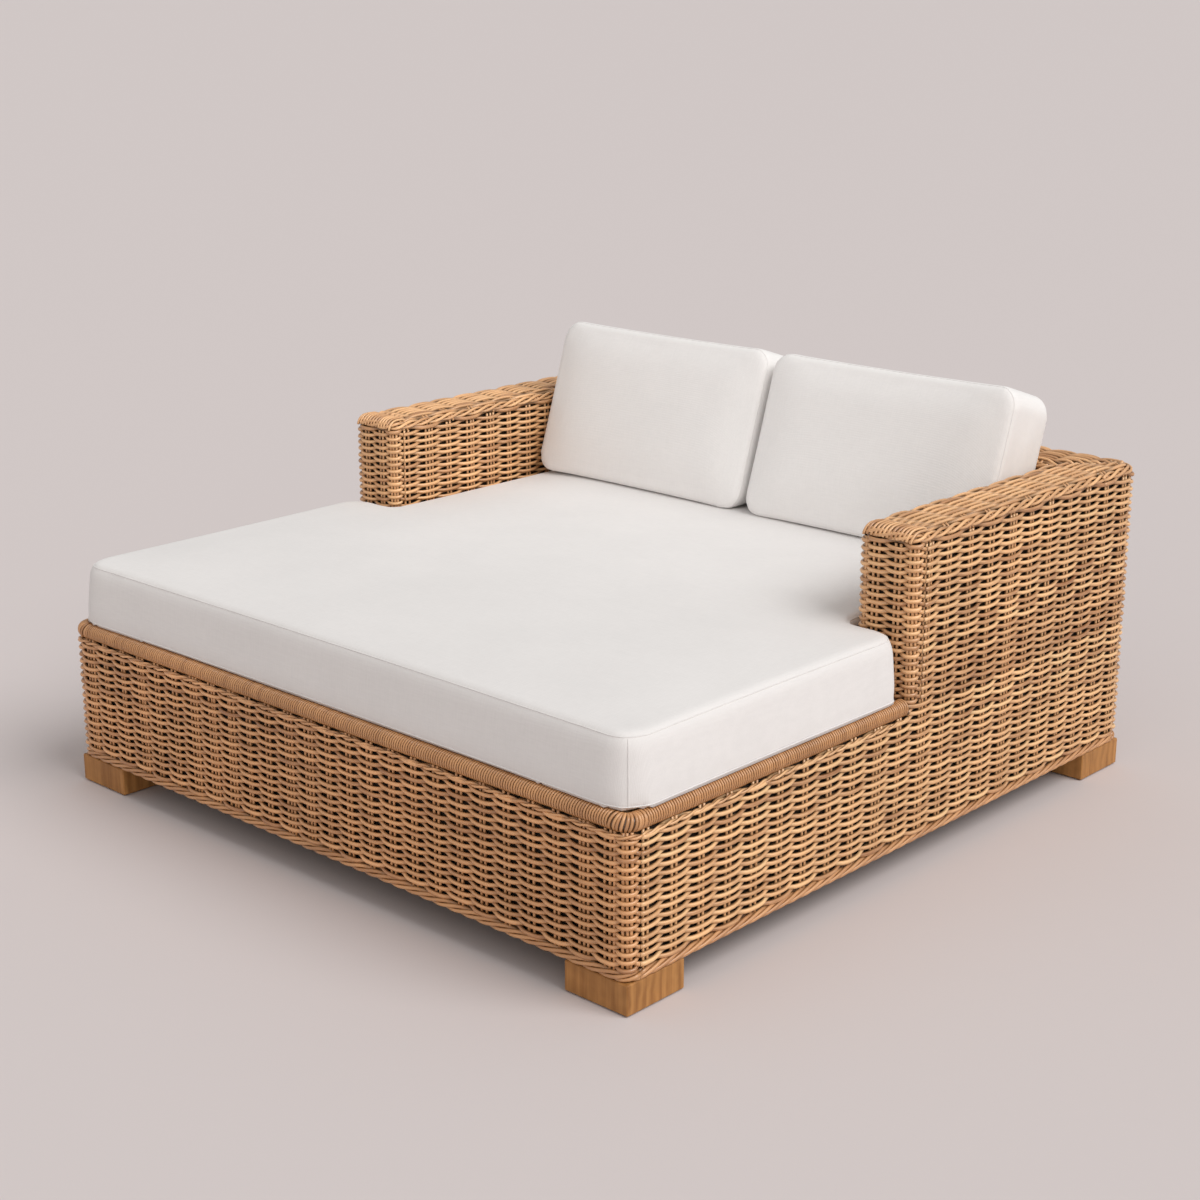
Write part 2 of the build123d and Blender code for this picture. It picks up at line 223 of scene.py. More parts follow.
class StageSettings(bpy.types.PropertyGroup):
    """Floor, light and camera."""

    floor_colour: FloatVectorProperty(
        name="Floor", description="Colour of the floor", subtype="COLOR", size=3, min=0, max=1,
        default=(0.658, 0.600, 0.594))
    sky_strength: FloatProperty(
        name="Sky strength", description="Strength of the even light", default=0.47)
    key_strength: FloatProperty(
        name="Key strength", description="Strength of the key light", default=1.90)
    key_angle: FloatProperty(
        name="Key softness", description="Angle that the key light covers", default=radians(42),
        subtype="ANGLE")
    key_from: FloatVectorProperty(
        name="Key side", description="Where the key light comes from", size=3,
        default=(0.660, 0.132, 0.740))
    fill_strength: FloatProperty(
        name="Fill strength", description="Strength of the light from the front", default=0.46)
    fill_angle: FloatProperty(
        name="Fill softness", description="Angle that the front light covers", default=radians(70),
        subtype="ANGLE")
    fill_from: FloatVectorProperty(
        name="Fill side", description="Where the front light comes from", size=3,
        default=(0.470, -0.820, 0.327))
    panel_strength: FloatProperty(
        name="Panel strength", description="Strength of the panel before the backs", default=0.45)
    camera_place: FloatVectorProperty(
        name="Camera place", description="Where the camera stands", subtype="TRANSLATION", size=3,
        default=(2.925, -3.162, 1.698))
    camera_turn: FloatProperty(
        name="Camera turn", description="Camera's turn from the front to its left",
        default=radians(42.93), subtype="ANGLE")
    camera_tilt: FloatProperty(
        name="Camera tilt", description="Camera's tilt below the level", default=radians(16.86),
        subtype="ANGLE")
    lens: FloatProperty(name="Lens", description="Focal length in millimetres", default=63.03)


# Tubes of cane, gathered into one mesh for each piece

class Bundle:
    """Strands that make up one piece, each a tube with its own run, tint and depth."""

    def __init__(self):
        self.points, self.quads, self.runs, self.sunk, self.tints, self.slots = [], [], [], [], [], []
        self.count = 0

    def tube(self, centres, normals, radius, sides=6, sunk=0.0, tint=0.5):
        """Adds a closed tube along centres, with its seam away from normals."""
        tangents = np.gradient(centres, axis=0)
        tangents /= np.linalg.norm(tangents, axis=1)[:, None] + 1e-12
        across = np.cross(tangents, normals)
        across /= np.linalg.norm(across, axis=1)[:, None] + 1e-12
        outward = np.cross(across, tangents)
        rings = len(centres)
        angles = tau * np.arange(sides) / sides - pi / 2
        level, upright = np.cos(angles)[None, :, None], np.sin(angles)[None, :, None]
        ring = level * across[:, None, :] + upright * outward[:, None, :]
        radius = np.broadcast_to(np.asarray(radius, float), (rings,))
        points = centres[:, None, :] + ring * radius[:, None, None]
        index = self.count + np.arange(rings * sides).reshape(rings, sides)
        following = np.roll(index, -1, axis=1)
        quads = np.stack([index[:-1], index[1:], following[1:], following[:-1]], axis=-1).reshape(-1, 4)
        caps = []
        for row, flip in ((index[0], False), (index[-1], True)):
            for k in range(1, sides - 1, 2):
                corner = [row[0], row[k], row[k + 1], row[(k + 2) % sides]]
                caps.append(corner[::-1] if flip else corner)
        self.keep(points, quads, np.array(caps), centres, sides, sunk, tint, 0)

    def band(self, centres, normals, outer, inner):
        """Adds a thin closed sheet along centres, from an outer to an inner path across it."""
        tangents = np.gradient(centres, axis=0)
        tangents /= np.linalg.norm(tangents, axis=1)[:, None] + 1e-12
        down = np.cross(tangents, normals)
        down /= np.linalg.norm(down, axis=1)[:, None] + 1e-12
        profile = np.concatenate([outer, inner[::-1]])
        sides, rings, half = len(profile), len(centres), len(outer)
        shifts = profile[None, :, :1] * down[:, None, :] + profile[None, :, 1:] * normals[:, None, :]
        points = centres[:, None, :] + shifts
        index = self.count + np.arange(rings * sides).reshape(rings, sides)
        following = np.roll(index, -1, axis=1)
        quads = np.stack([index[:-1], index[1:], following[1:], following[:-1]], axis=-1).reshape(-1, 4)
        caps = []
        for row, flip in ((index[0], False), (index[-1], True)):
            for k in range(half - 1):
                corner = [row[k], row[k + 1], row[sides - 2 - k], row[sides - 1 - k]]
                caps.append(corner[::-1] if flip else corner)
        # The sheet takes the second material, the painted shade inside the weave.
        self.keep(points, quads, np.array(caps), centres, sides, 1.0, 0.0, 1)

    def keep(self, points, quads, caps, centres, sides, sunk, tint, slot):
        """Stores one swept form with its run and turn on each corner."""
        rings = len(centres)
        steps = np.concatenate([[0.0], np.cumsum(np.linalg.norm(np.diff(centres, axis=0), axis=1))])
        turns = np.arange(sides + 1) / sides
        begin, low = np.meshgrid(steps[:-1], turns[:-1], indexing="ij")
        end, high = np.meshgrid(steps[1:], turns[1:], indexing="ij")
        corners = [np.stack(pair, -1) for pair in ((begin, low), (end, low), (end, high), (begin, high))]
        cap_runs = np.zeros((len(caps), 4, 2))
        cap_runs[len(caps) // 2:, :, 0] = steps[-1]
        cap_runs[:, :, 1] = 0.1 * np.arange(4)
        self.points.append(points.reshape(-1, 3))
        self.quads += [quads, caps]
        self.runs += [np.stack(corners, axis=2).reshape(-1, 4, 2), cap_runs]
        self.sunk.append(np.repeat(np.broadcast_to(np.asarray(sunk, float), (rings,)), sides))
        self.tints.append(np.full(rings * sides, tint))
        self.slots.append(np.full(len(quads) + len(caps), slot))
        self.count += rings * sides

    def piece(self, name, *materials):
        """Turns the bundle into a piece."""
        points = np.concatenate(self.points)
        quads = np.concatenate(self.quads)
        mesh = bpy.data.meshes.new(name)
        mesh.vertices.add(len(points))
        mesh.vertices.foreach_set("co", points.astype(np.float32).ravel())
        mesh.loops.add(quads.size)
        mesh.loops.foreach_set("vertex_index", quads.astype(np.int32).ravel())
        mesh.polygons.add(len(quads))
        mesh.polygons.foreach_set("loop_start", np.arange(0, quads.size, 4, dtype=np.int32))
        mesh.polygons.foreach_set("use_smooth", np.ones(len(quads), dtype=bool))
        mesh.polygons.foreach_set("material_index", np.concatenate(self.slots).astype(np.int32))
        mesh.update(calc_edges=True)
        layer = mesh.uv_layers.new(name="strand")
        layer.data.foreach_set("uv", np.concatenate(self.runs).astype(np.float32).ravel())
        # sunk holds how far each point lies back in the weave, and the cane materials darken by it as painted shade.
        for label, values in (("sunk", self.sunk), ("tint", self.tints)):
            attribute = mesh.attributes.new(label, "FLOAT", "POINT")
            attribute.data.foreach_set("value", np.concatenate(values).astype(np.float32))
        mesh.validate()
        thing = bpy.data.objects.new(name, mesh)
        bpy.context.collection.objects.link(thing)
        for material in materials:
            mesh.materials.append(material)
        return thing


# Plans that the strands follow

class Course:
    """A level path of straights and turns with the body on its left, and columns along it."""

    END_GAP = 0.072
    END_CLEAR = 0.002
    RING_GAP = 0.0015
    BEND_RINGS = 5

    def __init__(self, start, heading, runs, first=0, closed=False):
        self.segments, self.stations, self.bends = [], [], []
        place, angle, travelled = np.array(start, float), heading, 0.0
        for kind, size, detail in runs:
            if kind == "straight":
                self.segments.append((travelled, place.copy(), angle, size, 0.0))
                self.stations += [(travelled + at, True) for at in detail]
                place = place + size * np.array([cos(angle), sin(angle)])
                travelled += size
            else:
                radius, turn = size, detail
                length = abs(turn) * radius
                self.segments.append((travelled, place.copy(), angle, length, turn))
                self.bends.append((travelled, travelled + length))
                if turn > 0:
                    self.stations.append((travelled + length / 2, False))
                side = 1 if turn > 0 else -1
                centre = place + side * radius * np.array([-sin(angle), cos(angle)])
                angle += turn
                place = centre - side * radius * np.array([-sin(angle), cos(angle)])
                travelled += length
        self.total, self.first, self.closed = travelled, first, closed
        self.places = np.array([s for s, _ in self.stations])
        self.count = len(self.stations)

    def at(self, along):
        """Places on the face and level outward directions at distances along the course."""
        along = np.mod(along, self.total) if self.closed else np.asarray(along, float)
        starts = np.array([segment[0] for segment in self.segments])
        which = np.clip(np.searchsorted(starts, along, side="right") - 1, 0, len(starts) - 1)
        places, outward = np.zeros((len(along), 3)), np.zeros((len(along), 3))
        for number, (begin, origin, angle, length, turn) in enumerate(self.segments):
            chosen = which == number
            rest = along[chosen] - begin
            if turn == 0.0:
                places[chosen, :2] = origin + rest[:, None] * np.array([cos(angle), sin(angle)])
                outward[chosen, :2] = (sin(angle), -cos(angle))
            else:
                side = 1 if turn > 0 else -1
                radius = length / abs(turn)
                centre = origin + side * radius * np.array([-sin(angle), cos(angle)])
                angles = angle + turn * rest / length
                outward[chosen, 0], outward[chosen, 1] = np.sin(angles), -np.cos(angles)
                places[chosen, :2] = centre + side * radius * outward[chosen, :2]
        return places, outward

    def columns(self, along):
        """Number of columns passed, with its fraction, at distances along the course."""
        if not self.closed:
            ends = [self.places[0] - self.END_GAP], [self.places[-1] + self.END_GAP]
            places = np.concatenate([ends[0], self.places, ends[1]])
            return np.interp(along, places, np.arange(-1, self.count + 1)) + self.first
        laps = np.arange(-1, 3)
        places = np.concatenate([self.places + lap * self.total for lap in laps])
        numbers = np.concatenate([np.arange(self.count) + lap * self.count for lap in laps])
        return np.interp(along, places, numbers) + self.first

    def samples(self, begin, end, per_gap=6):
        """Distances along the course at which a strand has a ring."""
        laps = np.arange(-1, 3) if self.closed else np.arange(0, 1)
        stops = np.sort(np.concatenate([self.places + lap * self.total for lap in laps]))
        if not self.closed:
            stops = np.concatenate([[stops[0] - self.END_GAP], stops, [stops[-1] + self.END_GAP]])
        marks = [np.linspace(a, b, per_gap, endpoint=False) for a, b in zip(stops[:-1], stops[1:])]
        for lap in laps:
            marks += [np.linspace(a, b, self.BEND_RINGS) + lap * self.total for a, b in self.bends]
        marks = np.unique(np.round(np.concatenate(marks), 6))
        marks = marks[(marks > begin + self.END_CLEAR) & (marks < end - self.END_CLEAR)]
        keep = np.concatenate([[True], np.diff(marks) > self.RING_GAP])
        return np.concatenate([[begin], marks[keep], [end]])


def between(low, high, count):
    """Evenly spaced places from low to high."""
    return list(np.linspace(low, high, count))


STRAIGHT, TURN = "straight", "turn"
BEND_RUN = CORNER_RADIUS * QUARTER
INNER_CORNER = 0.0006
FRONT_RUN = 2 * (HALF_WIDTH - CORNER_RADIUS)
SIDE_RUN = REAR_Y - FRONT_Y - 2 * CORNER_RADIUS
SIDE_FIRST = FRONT_Y + CORNER_RADIUS
ARM_OFFSET = ARM_FRONT_Y - SIDE_FIRST

# Columns of the weave: the first one's distance from a corner, and how many each wall has
FACE_GAP = 0.052 - CORNER_RADIUS
ARM_COLUMN = ARM_FRONT_Y + 0.048
END_COLUMN = 0.012
INNER_COLUMN = 0.030
ACROSS_FRONT, BEFORE_ARM, ALONG_ARM, ARM_INSIDE, ACROSS_BACK = 26, 11, 11, 10, 22
FRONT_COLUMNS = between(FACE_GAP, FRONT_RUN - FACE_GAP, ACROSS_FRONT)
SIDE_COLUMNS = [
    *between(FACE_GAP, ARM_COLUMN - SIDE_FIRST, BEFORE_ARM + 1)[:-1],
    *between(ARM_COLUMN - SIDE_FIRST, SIDE_RUN - FACE_GAP, ALONG_ARM),
]
SIDE_BACKWARDS = [SIDE_RUN - at for at in reversed(SIDE_COLUMNS)]

# Where each wall of the base begins and ends along its course
WALLS = {
    "front": (-BEND_RUN, FRONT_RUN + BEND_RUN),
    "left_side": (FRONT_RUN + BEND_RUN, FRONT_RUN + BEND_RUN + SIDE_RUN),
    "rear": (FRONT_RUN + BEND_RUN + SIDE_RUN, 2 * FRONT_RUN + 3 * BEND_RUN + SIDE_RUN),
    "right_side": (2 * FRONT_RUN + 3 * BEND_RUN + SIDE_RUN, 2 * FRONT_RUN + 3 * BEND_RUN + 2 * SIDE_RUN),
}


def base_course():
    """Round the base, from the right end of the front."""
    start = (-HALF_WIDTH + CORNER_RADIUS, FRONT_Y)
    turn = (TURN, CORNER_RADIUS, QUARTER)
    return Course(start, 0.0, [
        (STRAIGHT, FRONT_RUN, FRONT_COLUMNS), turn, (STRAIGHT, SIDE_RUN, SIDE_COLUMNS), turn,
        (STRAIGHT, FRONT_RUN, FRONT_COLUMNS), turn, (STRAIGHT, SIDE_RUN, SIDE_BACKWARDS), turn,
    ], closed=True)


def surround_course():
    """Round the arms and the back, outside and inside, from the left arm's front."""
    turn = (TURN, CORNER_RADIUS, QUARTER)
    inner_turn = (TURN, INNER_CORNER, -QUARTER)
    arm_start = ARM_FRONT_Y + CORNER_RADIUS
    arm_run = REAR_Y - CORNER_RADIUS - arm_start
    shift = arm_start - SIDE_FIRST
    outer = [at - shift for at in SIDE_COLUMNS[BEFORE_ARM:]]
    outer_back = [arm_run - at for at in reversed(outer)]
    front_run = ARM_THICKNESS - 2 * CORNER_RADIUS
    front = [END_COLUMN, front_run - END_COLUMN]
    inner_run = BACK_INNER_Y - arm_start
    inner = between(END_COLUMN, inner_run - INNER_COLUMN, ARM_INSIDE)
    inner_back = [inner_run - at for at in reversed(inner)]
    back_run = 2 * ARM_INNER_X
    back = between(INNER_COLUMN, back_run - INNER_COLUMN, ACROSS_BACK)
    return Course((HALF_WIDTH, arm_start), QUARTER, [
        (STRAIGHT, arm_run, outer), turn, (STRAIGHT, FRONT_RUN, FRONT_COLUMNS), turn,
        (STRAIGHT, arm_run, outer_back), turn, (STRAIGHT, front_run, front), turn,
        (STRAIGHT, inner_run, inner), inner_turn, (STRAIGHT, back_run, back), inner_turn,
        (STRAIGHT, inner_run, inner_back), turn, (STRAIGHT, front_run, front), turn,
    ], first=ACROSS_FRONT + 1 + BEFORE_ARM, closed=True)


class Weaver:
    """Lays rows of strands and upright rods on a course."""

    RISE_SPREAD, LEAN_SPREAD = 0.00055, 0.0016
    SWING_SPREAD, THICK_SPREAD, DIP_SPREAD = 0.07, 0.03, 0.10
    THIRD_ROD_SHARE = 0.25
    TOP_SWING_CUT = 0.4
    INWARD_SWING = 0.8
    TUCK_DEPTH, BURY_DEPTH = 0.0045, 0.0050
    ROD_RING = 0.02

    def __init__(self, course, rows=100):
        settings = bpy.context.scene.daybed_weave
        self.course, self.settings = course, settings
        chance = np.random.default_rng(settings.seed + course.count)
        loose = settings.looseness
        self.rise = chance.normal(0, self.RISE_SPREAD * loose, (rows, course.count))
        self.swing = 1 + chance.normal(0, self.SWING_SPREAD * loose, (rows, course.count))
        self.tint = chance.random(rows)
        self.thick = 1 + chance.normal(0, self.THICK_SPREAD * loose, rows)
        self.lean = chance.normal(0, self.LEAN_SPREAD * loose, (3, course.count))
        self.extra_rod = chance.random(course.count) < self.THIRD_ROD_SHARE
        self.dip = 1 + chance.normal(0, self.DIP_SPREAD * loose, course.count)

    def _by_column(self, table, along):
        """Values of a table that has one for each column, blended from column to column."""
        numbers = self.course.columns(along) - self.course.first
        low = np.floor(numbers).astype(int)
        part = numbers - low
        part = part * part * (3 - 2 * part)
        size = table.shape[-1]
        return table[..., low % size] * (1 - part) + table[..., (low + 1) % size] * part

    def row(self, bundle, number, inset, height, tilt, begin, end, tuck=0.0, bury=None, per_gap=6):
        """One strand, over and under the columns, on a face tilted back by tilt.

        Its ends are tucked in over a length, and bury tells where it passes under a binding."""
        settings, course = self.settings, self.course
        along = course.samples(begin, end, per_gap)
        face, level = course.at(along)
        phase = pi * (course.columns(along) + number)
        shape = (np.cos(phase) - np.cos(3 * phase) / 9) * 9 / 8
        reach = settings.strand_swing * (1 - self.TOP_SWING_CUT * sin(tilt))
        out = reach * np.where(shape > 0, shape, self.INWARD_SWING * shape)
        out = out * self._by_column(self.swing[number], along)
        dip = settings.row_dip / 2 * shape * self._by_column(self.dip, along)
        rise = self._by_column(self.rise[number], along) - dip
        if tuck:
            ends = np.minimum(along - begin, end - along)
            out = np.where(ends < tuck, out - (out + self.TUCK_DEPTH) * (1 - ends / tuck), out)
        if bury is not None:
            hidden = bury(face)
            out = out * (1 - hidden) - self.BURY_DEPTH * hidden
            rise = rise * (1 - hidden)
        normal = cos(tilt) * level + sin(tilt) * UP
        climb = -sin(tilt) * level + cos(tilt) * UP
        centres = face - inset * level + height * UP + out[:, None] * normal + rise[:, None] * climb
        radius = settings.strand_radius * self.thick[number] * (0.97 + 0.05 * shape)
        # The strand takes painted shade where it passes behind a column.
        bundle.tube(centres, normal, radius, sunk=0.5 - 0.5 * shape, tint=self.tint[number])

    def rods(self, bundle, begin, end, low, high):
        """Upright rods, two or three at each column between begin and end."""
        settings, course = self.settings, self.course
        levels = np.linspace(low, high, max(4, int((high - low) / self.ROD_RING)))
        laps = (-1, 0, 1, 2) if course.closed else (0,)
        for number, (place, upright) in enumerate(course.stations):
            for lap in laps:
                here = place + lap * course.total
                if not begin - 1e-6 <= here <= end + 1e-6:
                    continue
                offsets = [-0.5, 0.5] + ([1.35] if self.extra_rod[number] else [])
                if not upright:
                    offsets = [-0.85, 0.0, 0.85]
                for turn, offset in enumerate(offsets):
                    wander = 0.6 * self.lean[turn, number] * np.sin(levels * (9 + 3 * turn) + number)
                    along = here + offset * settings.rod_spread + wander
                    face, level = course.at(along)
                    centres = face - settings.skin_inset * level
                    centres[:, 2] = levels
                    tint = 0.35 + 0.4 * ((number * 7 + turn * 3) % 10) / 10
                    bundle.tube(centres, level, settings.rod_radius, sides=6, sunk=0.2, tint=tint)


def shade_sheet_wall(bundle, course, begin, end, low, high):
    """The dark inner face of a wall's weave: a near-black sheet of painted shade inside the strands."""
    settings = bpy.context.scene.daybed_weave
    along = course.samples(begin, end, 1)
    face, level = course.at(along)
    centres = face - settings.shade_sheet_depth * level
    centres[:, 2] = (low + high) / 2
    half, thin = (high - low) / 2, settings.shade_sheet_thickness
    outer, inner = [(half, 0.0), (-half, 0.0)], [(half, -thin), (-half, -thin)]
    bundle.band(centres, level, np.array(outer), np.array(inner))


def shade_sheet_top(bundle, start, end, outward):
    """The dark inner face of a top's weave, from start to end along its middle: a near-black sheet of painted shade.
    """
    settings = bpy.context.scene.daybed_weave
    centres = np.linspace(start, end, 4)
    normals = np.tile(np.array(outward, float), (4, 1))
    turns = np.linspace(0, QUARTER, 6)
    middle = ARM_THICKNESS / 2 - EDGE_RADIUS
    outer = EDGE_RADIUS - settings.shade_sheet_depth
    paths = []
    for radius in (outer, outer - settings.shade_sheet_thickness):
        near = np.stack([-radius * np.sin(turns), middle + radius * np.cos(turns)], axis=1)
        far = np.stack([near[::-1, 0], -near[::-1, 1]], axis=1)
        paths.append(np.concatenate([near, far]))
    bundle.band(centres, normals, *paths)


def row_heights(low, high, pitch):
    """Heights of the rows from low to high, on one grid that starts over the foot braid."""
    first = BORDER_TOP + pitch / 2
    count = int((high - first) / pitch) + 1
    return [(number, first + number * pitch) for number in range(count + 1) if low <= first + number * pitch <= high]


ROPE_TINTS = (0.35, 0.75, 0.55)
ROPE_LAPS = (-1, 0, 1, 2)
RIM_CORD = {"strands": 2, "lay": 0.062, "out_swing": 0.0022, "up_swing": 0.0024, "radius": 0.0026}
EDGE_CORD = {"strands": 3, "out_swing": 0.0030, "up_swing": 0.0060, "radius": 0.0036, "start": 1.0}
FOOT_BRAID = {"strands": 4, "out_swing": 0.0042, "up_swing": 0.0062, "sides": 8}


def rope(bundle, course, span, inset, height, tilt=0.0, *,
         strands, lay, out_swing, up_swing, radius, start=0.0, sides=6):
    """Strands laid round each other along a span of a closed course."""
    begin, end = span
    along = np.linspace(begin, end, max(3, int((end - begin) / (lay / 12))))
    marks = np.concatenate([np.linspace(a, b, 6) + lap * course.total for lap in ROPE_LAPS for a, b in course.bends])
    along = np.unique(np.round(np.concatenate([along, marks[(marks > begin) & (marks < end)]]), 5))
    along = along[np.concatenate([[True], np.diff(along) > course.RING_GAP])]
    face, level = course.at(along)
    normal = cos(tilt) * level + sin(tilt) * UP
    climb = -sin(tilt) * level + cos(tilt) * UP
    for strand in range(strands):
        angle = tau * (along / lay + strand / strands) + start
        out, rise = out_swing * np.cos(angle), up_swing * np.sin(angle)
        centres = face - inset * level + height * UP + out[:, None] * normal + rise[:, None] * climb
        # Each strand takes painted shade where it turns under the others.
        sunk, tint = 0.42 - 0.42 * np.cos(angle), ROPE_TINTS[strand % len(ROPE_TINTS)]
        bundle.tube(centres, normal, radius, sides=sides, sunk=sunk, tint=tint)


# Shader parts

VECTOR, FLOAT = "NodeSocketVector", "NodeSocketFloat"
GRAIN_TURNS = {"X": (0, 0, 0), "Y": (0, 0, QUARTER), "Z": (0, QUARTER, 0)}


def new_group(name, inputs, outputs):
    """An empty node group with named sockets."""
    group = bpy.data.node_groups.new(name, "ShaderNodeTree")
    for label, kind, default in inputs:
        socket = group.interface.new_socket(name=label, in_out="INPUT", socket_type=kind)
        if default is not None:
            socket.default_value = default
    for label, kind in outputs:
        group.interface.new_socket(name=label, in_out="OUTPUT", socket_type=kind)
    return group, group.nodes.new("NodeGroupInput"), group.nodes.new("NodeGroupOutput")


def add(tree, kind, **values):
    """A node with its properties and plain input values set."""
    node = tree.nodes.new(kind)
    for key, value in values.items():
        if key.startswith("in_"):
            name = key[3:]
            node.inputs[int(name) if name.isdigit() else name.replace("_", " ")].default_value = value
        else:
            setattr(node, key, value)
    return node


def ramp(tree, factor, stops):
    """A colour ramp fed by factor."""
    node = tree.nodes.new("ShaderNodeValToRGB")
    bar = node.color_ramp
    while len(bar.elements) < len(stops):
        bar.elements.new(0.5)
    for element, (place, colour) in zip(bar.elements, stops):
        element.position = place
        element.color = (*colour, 1.0)
    tree.links.new(factor, node.inputs["Fac"])
    return node


def streak_group():
    """Fibres along a surface's first coordinate, as a mask and a height."""
    if "Fibre streaks" in bpy.data.node_groups:
        return bpy.data.node_groups["Fibre streaks"]
    group, source, sink = new_group(
        "Fibre streaks",
        [("Vector", VECTOR, None), ("Offset", FLOAT, 0.0), ("Along", FLOAT, 12.0), ("Across", FLOAT, 6.0)],
        [("Mask", FLOAT), ("Height", FLOAT)],
    )
    parts = add(group, "ShaderNodeSeparateXYZ")
    long_way = add(group, "ShaderNodeMath", operation="MULTIPLY")
    cross_way = add(group, "ShaderNodeMath", operation="MULTIPLY")
    joined = add(group, "ShaderNodeCombineXYZ")
    fine = add(group, "ShaderNodeTexNoise", in_Scale=1.0, in_Detail=3.0, in_Roughness=0.6)
    coarse = add(group, "ShaderNodeTexNoise", in_Scale=0.35, in_Detail=2.0, in_Roughness=0.5)
    blend = add(group, "ShaderNodeMix", data_type="FLOAT")
    link = group.links.new
    link(source.outputs["Vector"], parts.inputs[0])
    link(parts.outputs["X"], long_way.inputs[0])
    link(source.outputs["Along"], long_way.inputs[1])
    link(parts.outputs["Y"], cross_way.inputs[0])
    link(source.outputs["Across"], cross_way.inputs[1])
    link(long_way.outputs[0], joined.inputs["X"])
    link(cross_way.outputs[0], joined.inputs["Y"])
    link(source.outputs["Offset"], joined.inputs["Z"])
    link(joined.outputs[0], fine.inputs["Vector"])
    link(joined.outputs[0], coarse.inputs["Vector"])
    blend.inputs[0].default_value = 0.55
    link(fine.outputs["Fac"], blend.inputs[2])
    link(coarse.outputs["Fac"], blend.inputs[3])
    link(blend.outputs[0], sink.inputs["Mask"])
    link(fine.outputs["Fac"], sink.inputs["Height"])
    return group


def flank_shade_group():
    """Painted shade along both flanks of a strand, where it lies against its neighbours."""
    if "Painted flank shade" in bpy.data.node_groups:
        return bpy.data.node_groups["Painted flank shade"]
    group, source, sink = new_group("Painted flank shade", [("Vector", VECTOR, None)], [("Factor", FLOAT)])
    parts = add(group, "ShaderNodeSeparateXYZ")
    centred = add(group, "ShaderNodeMath", operation="SUBTRACT", in_1=0.5)
    away = add(group, "ShaderNodeMath", operation="ABSOLUTE")
    fade = add(group, "ShaderNodeMapRange", in_1=0.10, in_2=0.34, in_3=1.0, in_4=0.42)
    fade.interpolation_type = "SMOOTHSTEP"
    link = group.links.new
    link(source.outputs["Vector"], parts.inputs[0])
    link(parts.outputs["Y"], centred.inputs[0])
    link(centred.outputs[0], away.inputs[0])
    link(away.outputs[0], fade.inputs[0])
    link(fade.outputs[0], sink.inputs["Factor"])
    return group


def blotch_group():
    """Slow unevenness over a whole piece, as sun and handling leave it."""
    if "Slow blotches" in bpy.data.node_groups:
        return bpy.data.node_groups["Slow blotches"]
    group, source, sink = new_group(
        "Slow blotches",
        [("Vector", VECTOR, None), ("Scale", FLOAT, 9.0), ("Low", FLOAT, 0.86), ("High", FLOAT, 1.08)],
        [("Factor", FLOAT)],
    )
    noise = add(group, "ShaderNodeTexNoise", in_Detail=4.0, in_Roughness=0.55)
    spread = add(group, "ShaderNodeMapRange", in_1=0.3, in_2=0.7)
    link = group.links.new
    link(source.outputs["Vector"], noise.inputs["Vector"])
    link(source.outputs["Scale"], noise.inputs["Scale"])
    link(noise.outputs["Fac"], spread.inputs[0])
    link(source.outputs["Low"], spread.inputs[3])
    link(source.outputs["High"], spread.inputs[4])
    link(spread.outputs[0], sink.inputs["Factor"])
    return group


def new_material(name, roughness, coat=0.0, sheen=0.0, metallic=0.0):
    """A material with its Principled shader, tree and object coordinates."""
    material = bpy.data.materials.new(name)
    material.use_nodes = True
    tree = material.node_tree
    shader = tree.nodes["Principled BSDF"]
    shader.inputs["Roughness"].default_value = roughness
    shader.inputs["Coat Weight"].default_value = coat
    shader.inputs["Coat Roughness"].default_value = 0.35
    shader.inputs["Sheen Weight"].default_value = sheen
    shader.inputs["Metallic"].default_value = metallic
    return material, tree, shader, add(tree, "ShaderNodeTexCoord")


def group_node(tree, group, **values):
    """A node group placed in a material with its own values."""
    node = tree.nodes.new("ShaderNodeGroup")
    node.node_tree = group
    for name, value in values.items():
        node.inputs[name].default_value = value
    return node


def times(tree, colour, factor):
    """A colour darkened or lightened by a factor."""
    node = add(tree, "ShaderNodeVectorMath", operation="SCALE")
    tree.links.new(colour, node.inputs[0])
    tree.links.new(factor, node.inputs["Scale"])
    return node.outputs[0]


def bump(tree, shader, height, strength, distance):
    """Fine relief on the shader's normal."""
    node = add(tree, "ShaderNodeBump", in_Strength=strength, in_Distance=distance)
    tree.links.new(height, node.inputs["Height"])
    tree.links.new(node.outputs["Normal"], shader.inputs["Normal"])


def bands(tree, direction, scale, distortion, detail, detail_scale):
    """Wavy bands across one direction."""
    node = add(tree, "ShaderNodeTexWave", wave_type="BANDS", bands_direction=direction, in_Scale=scale)
    node.inputs["Distortion"].default_value = distortion
    node.inputs["Detail"].default_value = detail
    node.inputs["Detail Scale"].default_value = detail_scale
    return node


